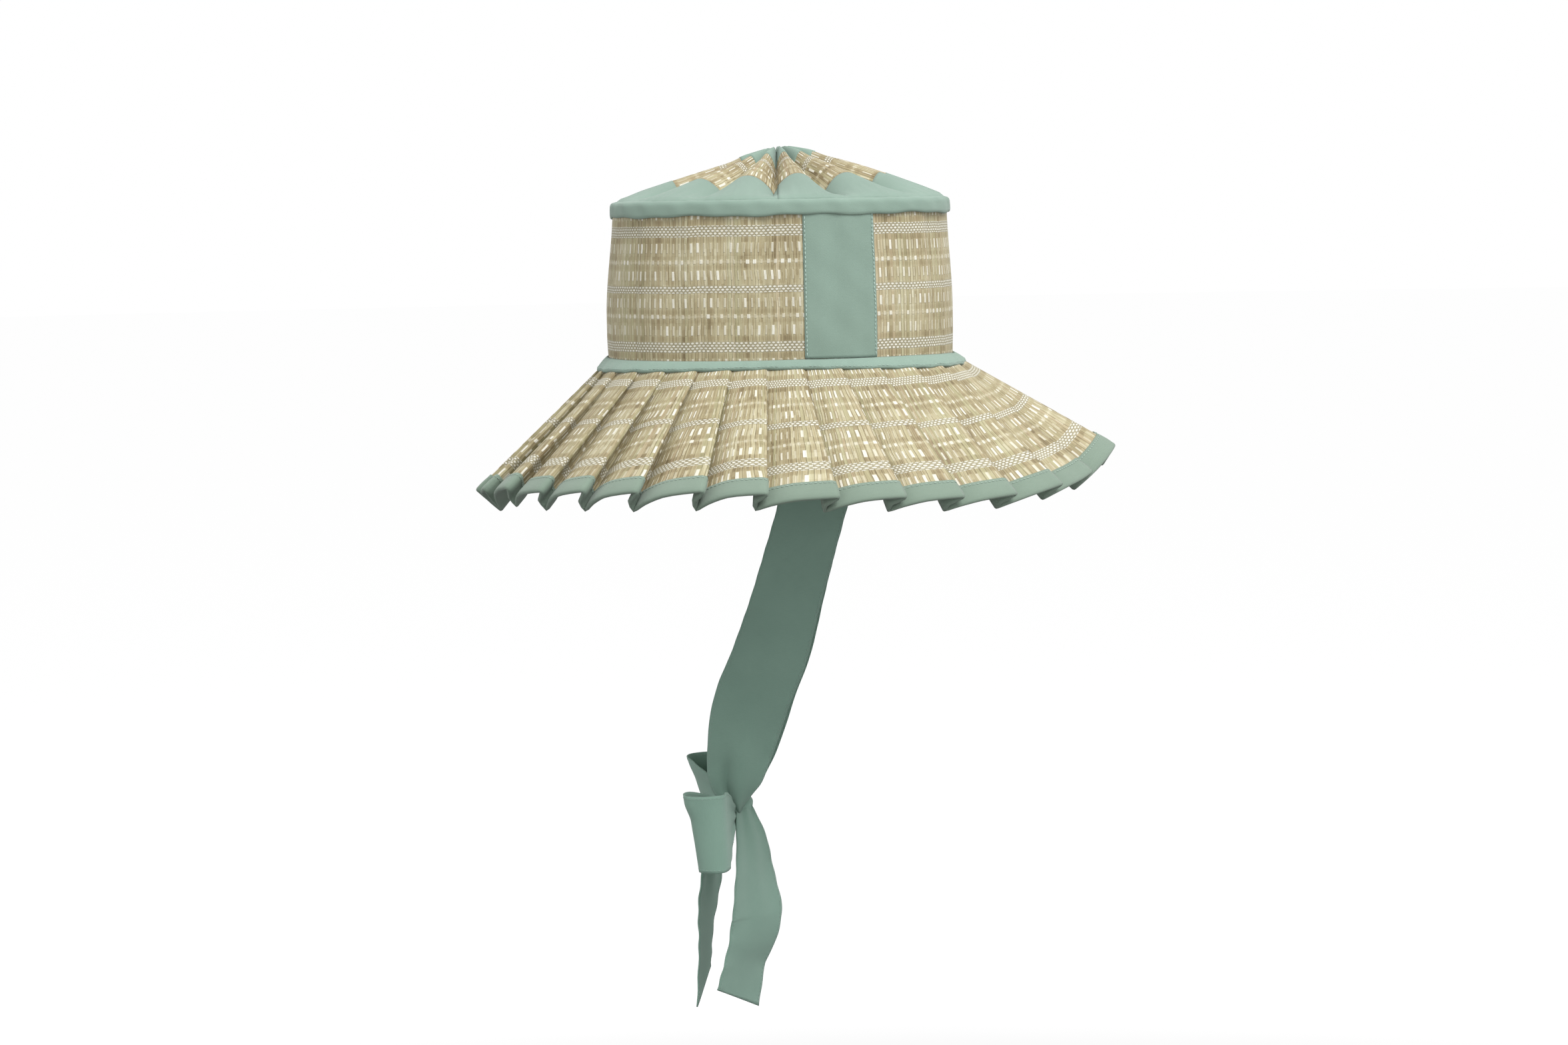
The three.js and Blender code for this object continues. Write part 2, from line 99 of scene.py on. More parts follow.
OUTLINE_STEPS = 720
outline_run = [0.0]
for step in range(1, OUTLINE_STEPS + 1):
    here = oval_point(2 * math.pi * step / OUTLINE_STEPS)
    before = oval_point(2 * math.pi * (step - 1) / OUTLINE_STEPS)
    outline_run.append(outline_run[-1] + (here - before).length)
OUTLINE_LENGTH = outline_run[-1]


@functools.lru_cache(maxsize=None)
def outline_angle(share):
    turns = math.floor(share)
    target = (share - turns) * OUTLINE_LENGTH
    low, high = 0, OUTLINE_STEPS
    while high - low > 1:
        middle = (low + high) // 2
        if outline_run[middle] <= target:
            low = middle
        else:
            high = middle
    within = (target - outline_run[low]) / (outline_run[high] - outline_run[low])
    return ((low + within) / OUTLINE_STEPS + turns) * 2 * math.pi


def frontness(share):
    """1 at the very front, falling to 0 at the sides."""
    return max(0.0, -math.sin(outline_angle(share))) ** 2


def outline_at(share, offset=0.0):
    point = oval_point(outline_angle(share))
    return point + oval_normal(point) * offset


def share_at_length(y):
    low, high = -0.25, 0.25
    for _ in range(40):
        middle = (low + high) / 2
        if oval_point(outline_angle(middle)).y < y:
            low = middle
        else:
            high = middle
    return low


# Brim shape: angle towards the back in degrees, share of the droop, share of the reach.
BRIM_SHAPE = [
    (-90, 1.1, 1.03),
    (-74, 1.04, 1.015),
    (-60, 0.975, 1.0),
    (-15, 0.94, 1.0),
    (12, 1.0, 1.0),
    (50, 1.07, 1.0),
    (68, 0.99, 1.01),
    (90, 0.71, 1.04),
]


def brim_shape_at(angle):
    back = math.degrees(math.asin(max(-1.0, min(1.0, math.sin(angle)))))
    pairs = list(zip(BRIM_SHAPE, BRIM_SHAPE[1:]))
    near, far = next((pair for pair in pairs if back <= pair[1][0]), pairs[-1])
    t = ease((back - near[0]) / (far[0] - near[0]))
    return math.radians(BRIM_DROOP * lerp(near[1], far[1], t)), lerp(near[2], far[2], t)


def brim_point(share, along, lift):
    angle = outline_angle(share)
    droop, reach = brim_shape_at(angle)
    root = outline_at(share, BRIM_ROOT)
    fan = Vector((math.cos(angle), math.sin(angle) * math.sqrt(HALF_WIDTH / HALF_LENGTH))).normalized()
    place = root + fan * (along * reach * math.cos(droop) + lift * math.sin(droop))
    height = BRIM_ROOT - along * reach * math.sin(droop) + lift * math.cos(droop)
    return Vector((place.x, place.y, height))


# Half the height of the brim's pleats at its root and at its edge, with more of it towards the front
PLEAT_ROOT_HEIGHT = 0.7
PLEAT_EDGE_HEIGHT = 6.4
PLEAT_FRONT_HEIGHT = 1.4


def brim_pleat_height(share, along):
    edge = PLEAT_EDGE_HEIGHT - PLEAT_FRONT_HEIGHT * math.sin(outline_angle(share))
    return lerp(PLEAT_ROOT_HEIGHT, edge, along / BRIM_SLANT)


# Mesh making: a grid is made by bmesh and each of its points is placed on the piece's surface
SEAM_WELD = 0.00001


def grid_piece(name, rows, uvs, facing, closed=False, wall=0.0, inwards=True):
    """rows of points in millimetres make a sheet; facing is the way its first face looks."""
    across, along = len(rows[0]), len(rows)
    bm = bmesh.new()
    weave = bm.loops.layers.uv.new("weave")
    bmesh.ops.create_grid(bm, x_segments=across - 1, y_segments=along - 1, size=0.5)
    cells = {}
    for vert in bm.verts:
        column = round((vert.co.x + 0.5) * (across - 1))
        row = round((vert.co.y + 0.5) * (along - 1))
        cells[vert] = (row, column)
    for face in bm.faces:
        for loop in face.loops:
            row, column = cells[loop.vert]
            loop[weave].uv = uvs[row][column]
    for vert, (row, column) in cells.items():
        vert.co = rows[row][column] * MM
    if closed:
        bmesh.ops.remove_doubles(bm, verts=bm.verts, dist=SEAM_WELD)
    bm.normal_update()
    bm.faces.ensure_lookup_table()
    if bm.faces[0].normal.dot(facing) < 0:
        bmesh.ops.reverse_faces(bm, faces=bm.faces)
    mesh = bpy.data.meshes.new(name)
    bm.to_mesh(mesh)
    bm.free()
    return add_piece(name, mesh, wall, -1 if inwards else 0)


def add_piece(name, mesh, wall=0.0, side=-1):
    mesh.polygons.foreach_set("use_smooth", [True] * len(mesh.polygons))
    piece = bpy.data.objects.new(name, mesh)
    bpy.context.scene.collection.objects.link(piece)
    if wall:
        solid = piece.modifiers.new("wall", "SOLIDIFY")
        solid.thickness = wall * MM
        solid.offset = side
    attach(piece, "root")
    return piece


def finish_piece(piece, material, slot, *nodes):
    piece.data.materials.append(material)
    if nodes:
        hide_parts(*nodes)


# Stitches: length, gap and radius in millimetres. They are made in small batches, which is quicker.
BAND_STITCH = (1.7, 0.7, 0.22)
PANEL_STITCH = (1.9, 0.5, 0.24)
BINDING_STITCH = (1.8, 0.7, 0.22)
RIBBON_STITCH = (1.4, 0.9, 0.2)
STITCH_BATCH = 40
SHORTEST_STEP = 1e-6
STITCH_FLATNESS = 0.8
STITCH_LIFT = 0.3


def add_stitches(name, runs, material, slot, length, gap, radius):
    """One joined mesh of thread stitches; each run is a list of (point, outward) in millimetres."""
    stitches = []
    for run in runs:
        stitches += stitch_places(run, length, gap)
    mesh = bpy.data.meshes.new(name)
    joined = bmesh.new()
    for first in range(0, len(stitches), STITCH_BATCH):
        bm = bmesh.new()
        for a, b, out in stitches[first:first + STITCH_BATCH]:
            place_stitch(bm, a, b, out, radius)
        bm.to_mesh(mesh)
        bm.free()
        joined.from_mesh(mesh)
    joined.to_mesh(mesh)
    joined.free()
    finish_piece(add_piece(name, mesh), material, slot)


def stitch_places(run, length, gap):
    """Start, end and outward direction of each stitch along one run."""
    places = []
    travelled = 0.0
    start = None
    for (a, out_a), (b, out_b) in zip(run, run[1:]):
        while True:
            left = (gap if start is None else length) - travelled
            step = (b - a).length
            if step < SHORTEST_STEP or left > step:
                travelled += step
                break
            a = a + (b - a) * (left / step)
            travelled = 0.0
            if start is None:
                start = (a, out_a)
            else:
                places.append((start[0], a, (start[1] + out_b).normalized()))
                start = None
    return places


def place_stitch(bm, a, b, out, radius):
    run = (b - a).normalized()
    if run.length == 0:
        return
    side = out.cross(run).normalized()
    out = run.cross(side)
    middle = (a + b) / 2 + out * radius * STITCH_LIFT
    half = (b - a).length / 2
    frame_matrix = Matrix((
        (run.x * half, side.x * radius, out.x * radius * STITCH_FLATNESS, middle.x),
        (run.y * half, side.y * radius, out.y * radius * STITCH_FLATNESS, middle.y),
        (run.z * half, side.z * radius, out.z * radius * STITCH_FLATNESS, middle.z),
        (0, 0, 0, 1),
    ))
    matrix = Matrix.Scale(MM, 4) @ frame_matrix @ Matrix.Rotation(math.pi / 2, 4, "Y")
    bmesh.ops.create_uvsphere(bm, u_segments=6, v_segments=4, radius=1, matrix=matrix)


# Shader maths

class Value:
    """A node socket that adds, takes away, multiplies and divides by adding Math nodes."""

    def __init__(self, paint, socket):
        self.paint = paint
        self.socket = socket

    def _math(self, operation, first, second):
        node = self.paint.node("ShaderNodeMath", {"operation": operation}, {0: first, 1: second})
        return Value(self.paint, node.outputs[0])

    def __add__(self, other):
        return self._math("ADD", self, other)

    def __radd__(self, other):
        return self._math("ADD", other, self)

    def __sub__(self, other):
        return self._math("SUBTRACT", self, other)

    def __rsub__(self, other):
        return self._math("SUBTRACT", other, self)

    def __mul__(self, other):
        return self._math("MULTIPLY", self, other)

    def __truediv__(self, other):
        return self._math("DIVIDE", self, other)

    def floor(self):
        return self._math("FLOOR", self, 0)

    def fract(self):
        return self._math("FRACT", self, 0)

    def abs(self):
        return self._math("ABSOLUTE", self, 0)

    def sin(self):
        return self._math("SINE", self, 0)

    def most(self, other):
        return self._math("MAXIMUM", self, other)

    def smooth(self, low, high):
        node = self.paint.node(
            "ShaderNodeMapRange",
            {"interpolation_type": "SMOOTHSTEP"},
            {"Value": self, "From Min": low, "From Max": high, "To Min": 0, "To Max": 1},
        )
        return Value(self.paint, node.outputs[0])


class Paint:
    """A material's node tree, with one method that adds any node."""

    def __init__(self, name, roughness, **constants):
        self.material = bpy.data.materials.new(name)
        self.material.use_nodes = True
        self.tree = self.material.node_tree
        self.shader = self.tree.nodes["Principled BSDF"]
        self.shader.inputs["Roughness"].default_value = roughness
        for socket, value in constants.items():
            self.shader.inputs[socket.replace("_", " ").title().replace("Ior", "IOR")].default_value = value

    def node(self, kind, settings=None, inputs=None):
        node = self.tree.nodes.new(kind)
        for key, value in (settings or {}).items():
            if key == "stops":
                self.set_stops(node.color_ramp, value)
            else:
                setattr(node, key, value)
        for key, value in (inputs or {}).items():
            self.feed(node.inputs[key], value)
        return node

    def set_stops(self, ramp, stops):
        while len(ramp.elements) < len(stops):
            ramp.elements.new(0.5)
        for element, (place, colour) in zip(ramp.elements, stops):
            element.position = place
            element.color = (*colour, 1)

    def feed(self, socket, value):
        if isinstance(value, Value):
            self.tree.links.new(value.socket, socket)
        elif isinstance(value, bpy.types.NodeSocket):
            self.tree.links.new(value, socket)
        elif isinstance(value, tuple) and len(value) == 3 and socket.type == "RGBA":
            socket.default_value = (*value, 1)
        else:
            socket.default_value = value

    def weave(self):
        uv = self.node("ShaderNodeUVMap", {"uv_map": "weave"})
        parts = self.node("ShaderNodeSeparateXYZ", None, {0: uv.outputs[0]})
        return Value(self, parts.outputs[0]), Value(self, parts.outputs[1])

    def vector(self, x, y, z=0.0):
        return self.node("ShaderNodeCombineXYZ", None, {0: x, 1: y, 2: z}).outputs[0]

    def random(self, x, y, z):
        inputs = {"Vector": self.vector(x, y, z)}
        node = self.node("ShaderNodeTexWhiteNoise", {"noise_dimensions": "3D"}, inputs)
        return Value(self, node.outputs[0])

    def noise(self, vector, scale, detail=2.0, roughness=0.5):
        inputs = {"Vector": vector, "Scale": scale, "Detail": detail, "Roughness": roughness}
        return Value(self, self.node("ShaderNodeTexNoise", None, inputs).outputs[0])

    def place(self):
        return self.node("ShaderNodeTexCoord").outputs["Object"]

    def ramp(self, value, stops):
        return self.node("ShaderNodeValToRGB", {"stops": stops}, {0: value}).outputs[0]

    def mix(self, factor, first, second, blend="MIX"):
        settings = {"data_type": "RGBA", "blend_type": blend}
        node = self.node("ShaderNodeMix", settings, {0: factor, 6: first, 7: second})
        return node.outputs[2]

    def bump(self, height, distance):
        inputs = {"Height": height, "Distance": distance * MM, "Strength": 1.0}
        node = self.node("ShaderNodeBump", None, inputs)
        self.feed(self.shader.inputs["Normal"], node.outputs[0])

    def colour(self, socket):
        self.feed(self.shader.inputs["Base Color"], socket)

    def roughness(self, value):
        self.feed(self.shader.inputs["Roughness"], value)


# Mat: flat straws side by side, with cream threads that show as dotted bands and dashed rows
MAT_PERIOD = 62.6
COLUMN = 3.75
DOT_COLUMN = 2.5
DOT_ROW = 1.44
STRAW_PITCH = 1.9
STREAK = 0.62
STREAK_LENGTH = 46
CANE_JOINT = 3.75
NEAR_ROW = 9.0
SMALL_ROW = 16.6
FAR_ROW = 23.9
WANDER_ACROSS = 2.4
WANDER_ALONG = 2.0
MAT_RELIEF = 0.35
STRAW_TONES = [
    (0.0, (0.115, 0.085, 0.04)),
    (0.2, (0.205, 0.162, 0.085)),
    (0.42, (0.305, 0.255, 0.147)),
    (0.62, (0.378, 0.336, 0.208)),
    (0.82, (0.452, 0.414, 0.278)),
    (1.0, (0.57, 0.54, 0.405)),
]
GROOVE_TONES = [(0.0, (0.3, 0.27, 0.22)), (1.0, (1, 1, 1))]
OLIVE_STRAW = (0.34, 0.34, 0.19)
PINK_STRAW = (0.42, 0.32, 0.21)
CREAM = (0.67, 0.655, 0.575)
PALE_CREAM = (0.52, 0.48, 0.355)
BAND_GROUND = (0.265, 0.242, 0.165)


def straw_mat(name, seed, darker_tone_and_shade):
    """Reads the piece's own map in millimetres: u runs across the straws, v along them."""
    paint = Paint(name, 0.62, specular_ior_level=0.35)
    u, v = paint.weave()
    u = u + (paint.noise(paint.vector(u * 0.02, v * 0.05, seed), 1.0) - 0.5) * WANDER_ACROSS
    v = v + (paint.noise(paint.vector(u * 0.045, seed, 3.0), 1.0) - 0.5) * WANDER_ALONG
    from_band = (((v + MAT_PERIOD / 2) / MAT_PERIOD).fract() * MAT_PERIOD - MAT_PERIOD / 2).abs()
    repeat = ((v + MAT_PERIOD / 2) / MAT_PERIOD).floor()

    wide = 1 - from_band.smooth(2.85, 3.1)
    narrow = from_band.smooth(29.2, 29.45)
    band = wide.most(narrow)
    dot_row = (v / DOT_ROW).floor()
    stagger = (dot_row * 0.5).fract()
    dot_x = ((u / DOT_COLUMN + stagger).fract() - 0.5) * (DOT_COLUMN / 0.9)
    dot_y = ((v / DOT_ROW).fract() - 0.5) * (DOT_ROW / 0.56)
    dot_shine = paint.random((u / DOT_COLUMN + stagger).floor(), dot_row, seed)
    dots = (1 - (dot_x * dot_x + dot_y * dot_y).smooth(0.6, 1.15)) * band * (0.78 + dot_shine * 0.22)

    def dash_row(centre, half, shift, narrowest, spread):
        """One row of dashes along the straws; the wider a dash, the creamier it is."""
        column = u / COLUMN + shift
        chance = paint.random(column.floor(), repeat, centre + seed)
        side = ((column.fract() - 0.5).abs() * COLUMN) - (narrowest + chance * spread)
        ends = (from_band - centre).abs() - half
        body = (1 - side.smooth(-0.14, 0.14)) * (1 - ends.smooth(-0.2, 0.3))
        return body, body * chance.smooth(0.25, 1.1)

    near_row, near_shine = dash_row(NEAR_ROW, 2.5, 0.5, 0.42, 0.27)
    small_row, small_shine = dash_row(SMALL_ROW, 1.05, 0.0, 0.55, 0.38)
    far_row, far_shine = dash_row(FAR_ROW, 2.45, 0.5, 0.42, 0.27)
    dashes = near_row.most(small_row).most(far_row)
    shine = near_shine.most(small_shine).most(far_shine)
    thread_line = 1 - (from_band - SMALL_ROW).abs().smooth(0.25, 0.7)

    straw = (u / STRAW_PITCH).floor()
    tone = paint.random(straw, 1.0, seed)
    streak = paint.random((u / STREAK).floor(), ((v + tone * 40) / STREAK_LENGTH).floor(), seed + 3.0)
    brick = paint.random(straw, ((from_band + 1.6) / CANE_JOINT).floor() + repeat * 19.0, seed + 2.0)
    fibre = paint.noise(paint.vector(u * 3.4, v * 0.07, seed), 1.0, 4.0, 0.7)
    patch = paint.noise(paint.vector(u * 0.035, v * 0.05, seed + 7.0), 1.0, 2.0)
    beside_band = (1 - (from_band - 4.6).abs().smooth(0.5, 2.2)) * 0.12
    beside_row = (1 - ((from_band - SMALL_ROW).abs() - 2.7).abs().smooth(0.4, 1.6)) * 0.08
    shade = tone * 0.26 + streak * 0.24 + brick * 0.2 + (fibre - 0.5) * 1.0 + patch * 0.7
    # The whole copy is made darker or lighter here: a tone of its own for the crown and top, painted shade for
    # the brim.
    shade = shade - 0.14 - darker_tone_and_shade - beside_band - beside_row
    base = paint.ramp(shade, STRAW_TONES)
    tint = paint.random(straw, 2.0, seed + 5.0)
    base = paint.mix(tint.smooth(0.78, 1.0) * 0.4, base, OLIVE_STRAW)
    base = paint.mix((1 - tint.smooth(0.0, 0.14)) * 0.3, base, PINK_STRAW)
    gap = ((u / STRAW_PITCH).fract() - 0.5).abs().smooth(0.41, 0.5) * (0.15 + tone * 0.75)
    groove = 1 - gap
    base = paint.mix(1.0, base, paint.ramp(groove, GROOVE_TONES), "MULTIPLY")
    base = paint.mix(thread_line * 0.3, base, PALE_CREAM)
    base = paint.mix(band * 0.66, base, BAND_GROUND)
    base = paint.mix(dashes * 0.55, base, PALE_CREAM)
    base = paint.mix(dots.most(shine) * 0.95, base, CREAM)
    paint.colour(base)
    paint.roughness(0.5 + fibre * 0.25)
    relief = groove * 0.5 + fibre * 0.5 + streak * 0.12 + dots * 0.7 + dashes * 0.5 + tone * 0.2
    paint.bump(relief, MAT_RELIEF)
    return paint.material


# Cotton twill: slanting ribs, a fine thread grain and soft clouds
TWILL_PITCH = 0.46
TWILL_SLANT = 0.62
TWILL_RELIEF = 0.16


def cotton_twill(name, light, dark, seed):
    paint = Paint(name, 0.85, specular_ior_level=0.25, sheen_weight=0.18, sheen_roughness=0.5)
    u, v = paint.weave()
    blur = paint.noise(paint.vector(u * 0.3, v * 0.3, seed), 1.0) * 0.5
    rib = ((u * TWILL_SLANT + v + blur) * (2 * math.pi / TWILL_PITCH)).sin()
    thread = paint.noise(paint.vector(u * 3.2, v * 3.2, seed), 1.0, 3.0, 0.7)
    cloud = paint.noise(paint.place(), 28.0, 3.0, 0.55)
    slub = paint.noise(paint.vector(u * 0.25, v * 2.2, seed + 4.0), 1.0, 2.0)
    shade = 0.5 + rib * 0.05 + (thread - 0.5) * 0.6 + (cloud - 0.5) * 0.4 + (slub - 0.5) * 0.2
    paint.colour(paint.ramp(shade, [(0.05, dark), (0.95, light)]))
    paint.bump(rib * 0.25 + thread * 0.6 + slub * 0.3 + cloud * 1.4, TWILL_RELIEF)
    return paint.material


def thread_paint(name, colour):
    paint = Paint(name, 0.7, specular_ior_level=0.3)
    twist = paint.noise(paint.place(), 2600.0, 1.0)
    dark = tuple(channel * 0.72 for channel in colour)
    paint.colour(paint.ramp(twist, [(0.2, dark), (0.8, colour)]))
    return paint.material


TRIM_LIGHT = (0.262, 0.362, 0.302)
TRIM_DARK = (0.157, 0.226, 0.186)
EDGE_LIGHT = (0.226, 0.298, 0.236)
EDGE_DARK = (0.136, 0.186, 0.146)
RIBBON_LIGHT = (0.25, 0.385, 0.315)
RIBBON_DARK = (0.146, 0.244, 0.195)
mat_crown = straw_mat("straw_mat_crown", 1.0, -0.04)
# The brim's copy is painted darker than the crown's: painted shade, to offset the key light on its upturned
# face.
mat_brim = straw_mat("straw_mat_brim", 11.0, 0.06)
mat_top = straw_mat("straw_mat_top", 23.0, 0.1)
trim = cotton_twill("trim_twill", TRIM_LIGHT, TRIM_DARK, 1.0)
edge_trim = cotton_twill("edge_twill", EDGE_LIGHT, EDGE_DARK, 2.0)
ribbon_cloth = cotton_twill("ribbon_twill", RIBBON_LIGHT, RIBBON_DARK, 5.0)
pale_thread = thread_paint("pale_thread", (0.46, 0.6, 0.54))
green_thread = thread_paint("green_thread", (0.38, 0.49, 0.425))
ribbon_thread = thread_paint("ribbon_thread", (0.28, 0.38, 0.33))


# Crown side: the mat runs once round, with soft upright folds at (share of the half length, depth)
CREASES = [(-0.82, 1.4), (-0.083, 1.3), (0.87, 1.2)]
CREASE_SPREAD = 2.6
CROWN_COLUMNS = 360
CROWN_ROWS = 24
CROWN_WALL = 1.6
TOP_TAPER = 3.0
FRONT_TAPER = 1.4
FOOT_TAPER = 0.5
LOWEST_DOT_BAND = 13.6


def crown_dent(y, z):
    fade = ease(z / 14) * ease((CROWN_HEIGHT - z) / 10)
    depth = sum(deep * math.exp(-abs(y - place * HALF_LENGTH) / CREASE_SPREAD) for place, deep in CREASES)
    slow = 0.3 * math.sin(y * 0.21 + z * 0.02) + 0.22 * math.sin(y * 0.43 + 1.0)
    return fade * (depth + slow)


def crown_point(share, z, offset=0.0):
    plain = outline_at(share)
    taper = (TOP_TAPER + FRONT_TAPER * frontness(share)) * ease((z - 30) / 62)
    taper += FOOT_TAPER * ease((20 - z) / 20)
    point = outline_at(share, offset - taper - crown_dent(plain.y, z))
    return Vector((point.x, point.y, z))


def build_crown_side():
    rows, uvs = [], []
    for j in range(CROWN_ROWS + 1):
        z = CROWN_HEIGHT * j / CROWN_ROWS
        rows.append([crown_point(i / CROWN_COLUMNS, z) for i in range(CROWN_COLUMNS + 1)])
        around = [OUTLINE_LENGTH * i / CROWN_COLUMNS for i in range(CROWN_COLUMNS + 1)]
        uvs.append([(u, z - LOWEST_DOT_BAND) for u in around])
    piece = grid_piece("crown_mat", rows, uvs, Vector((1, 0, 0)), closed=True, wall=CROWN_WALL)
    finish_piece(piece, mat_crown, "straw", "crown_side")


# Crown top: a low cone of soft pleats, gathered in the middle
TOP_LEVEL = CROWN_HEIGHT + 2.3
RIM_FRONT_INSET = 2.2
TOP_FRONT_SAG = 3.4
DEEP_VALLEY_TURN = 1.5
GATHER_PUFF = 1.3
GATHER_DIP = 5.0
RIM_TUCK = 1.6
HEM_WRINKLE = 0.22
HEM_WRINKLES_ROUND = 83
TOP_MAT_STRETCH = 2.1
TOP_MAT_START = 2.4
TOP_MAT_WALL = 1.4
TOP_TRIM_WALL = 0.9
COLUMNS_PER_TOP_PLEAT = 26

# Depth of the top's valleys, as (share of the reach, share of the pleat depth)
TOP_DEPTHS = [
    (1.0, 0.0),
    (0.95, 0.03),
    (0.8, 0.6),
    (0.64, 1.0),
    (0.42, 1.0),
    (0.21, 0.8),
    (0.1, 0.5),
    (0.0, 0.0),
]


def top_depth(reach):
    for (outer, deep), (inner, deeper) in zip(TOP_DEPTHS, TOP_DEPTHS[1:]):
        if reach >= inner:
            t = (outer - reach) / (outer - inner)
            return TOP_PLEAT_DEPTH * lerp(deep, deeper, t)
    return 0.0


def top_point(share, reach, lift=0.0):
    edge = outline_at(share)
    turn = TOP_PLEATS * share + TOP_PLEAT_PHASE
    index = math.floor(turn + 0.5)
    vary = 1 + 0.16 * math.sin(index * 2.4) + 0.08 * math.sin(index * 5.1)
    vary += 0.3 * math.exp(-(((turn - DEEP_VALLEY_TURN) / 0.32) ** 2))
    crest = abs(math.cos(math.pi * turn)) ** 0.8
    sink = top_depth(reach) * (1 - crest) * vary
    puff = GATHER_PUFF * crest * ease((0.3 - reach) / 0.12) - GATHER_DIP * ease((0.07 - reach) / 0.07)
    tucked = RIM_TUCK * ease((reach - 0.93) / 0.04)
    wrinkle = HEM_WRINKLE * math.sin(share * 2 * math.pi * HEM_WRINKLES_ROUND)
    wrinkle = wrinkle * ease((reach - 0.7) / 0.15) * ease((0.97 - reach) / 0.04)
    towards_front = max(0.0, -math.sin(outline_angle(share)))
    sag = TOP_FRONT_SAG * towards_front * math.sin(math.pi * reach ** 0.75)
    level = TOP_LEVEL + TOP_RISE * (1 - reach ** TOP_ROUNDNESS) - sink - sag + puff + lift - tucked + wrinkle
    inset = 1 - RIM_FRONT_INSET / HALF_LENGTH * frontness(share) * ease((reach - 0.75) / 0.2)
    return Vector((edge.x * reach * inset, edge.y * reach * inset, level))


def top_ring(name, outer, inner, rows_count, material, slot, node, wall, lift=0.0):
    columns = TOP_PLEATS * COLUMNS_PER_TOP_PLEAT
    rows, uvs = [], []
    for j in range(rows_count + 1):
        reach = lerp(outer, inner, j / rows_count)
        rows.append([top_point(i / columns, reach, lift) for i in range(columns + 1)])
        down = (outer - reach) * (HALF_LENGTH + HALF_WIDTH) / 2
        around = OUTLINE_LENGTH * (outer + inner) / 2
        columns_around = [around * TOP_MAT_STRETCH * i / columns for i in range(columns + 1)]
        uvs.append([(u, down + TOP_MAT_START) for u in columns_around])
    piece = grid_piece(name, rows, uvs, Vector((0, 0, 1)), closed=True, wall=wall)
    finish_piece(piece, material, slot, node)


def build_crown_top():
    hem, mat, gather = "crown_top_hem", "crown_top_straw", "crown_top_gather"
    top_ring("top_hem", 0.968, HEM_REACH - 0.012, 20, trim, "trim", hem, TOP_TRIM_WALL, 0.25)
    top_ring("top_mat", HEM_REACH + 0.01, GATHER_REACH - 0.02, 20, mat_top, "straw", mat, TOP_MAT_WALL)
    top_ring("top_gather", GATHER_REACH + 0.012, 0.0, 12, trim, "trim", gather, TOP_TRIM_WALL, 0.35)


# Bands
BAND_COLUMNS = 480
RIM_BAND_WALL = 0.7
RIM_BAND_INSET = 2.9
BASE_BAND_WALL = 0.5
BASE_BAND_CLEARANCE = 1.0
BASE_BAND_REACH = 1.9
BASE_BAND_END_REACH = 3
CROWN_GAP = 0.3
STITCH_LINE = 0.87
STITCH_HEIGHT = 0.74


def wave_round(share, waves, start=0.0):
    """A wave that closes on itself once round the hat."""
    return math.sin(share * 2 * math.pi * waves + start)


def build_top_band():
    """Cloth folded over the rim: a soft roll with a slightly wavy lower edge."""
    section = [
        (0.2, -1.3), (1.4, -1.4), (2.0, -0.9), (2.2, 0.4), (2.15, 2.0), (2.1, 3.6),
        (2.0, 5.0), (1.55, 6.3), (0.7, 7.1), (-0.5, 7.4), (-1.8, 7.8), (-3.0, 8.0),
    ]
    rows, uvs = [], []
    for k, (out, up) in enumerate(section):
        row, uv = [], []
        for i in range(BAND_COLUMNS + 1):
            share = i / BAND_COLUMNS
            wave = 0.32 * wave_round(share, 9) + 0.22 * wave_round(share, 23, 1)
            low = max(0.0, 1 - up / 4)
            plump = 0.18 * wave_round(share, 31, k * 0.5) + 0.12 * wave_round(share, 57)
            inwards = RIM_BAND_INSET + RIM_FRONT_INSET * frontness(share)
            point = outline_at(share, out - inwards + plump * (0.3 + 0.7 * (1 - low)))
            row.append(Vector((point.x, point.y, BAND_BOTTOM + up + wave * low)))
            uv.append((OUTLINE_LENGTH * share, k * 1.2))
        rows.append(row)
        uvs.append(uv)
    piece = grid_piece("rim_band", rows, uvs, Vector((0, 0, -1)), closed=True, wall=RIM_BAND_WALL)
    finish_piece(piece, trim, "trim", "top_band")


def base_band_point(share, t, lift):
    angle = outline_angle(share)
    droop, reach = brim_shape_at(angle)
    level = brim_pleat_height(share, 4) + BASE_BAND_CLEARANCE + lift
    inner = -(BRIM_ROOT - CROWN_GAP + level * math.sin(droop)) / (math.cos(droop) * reach)
    outer = BASE_BAND_REACH + BASE_BAND_END_REACH * math.sin(angle) ** 2
    return brim_point(share, lerp(inner, outer, t), level)


def base_band_wave(share):
    return 0.03 * wave_round(share, 30) + 0.02 * wave_round(share, 47, 2)


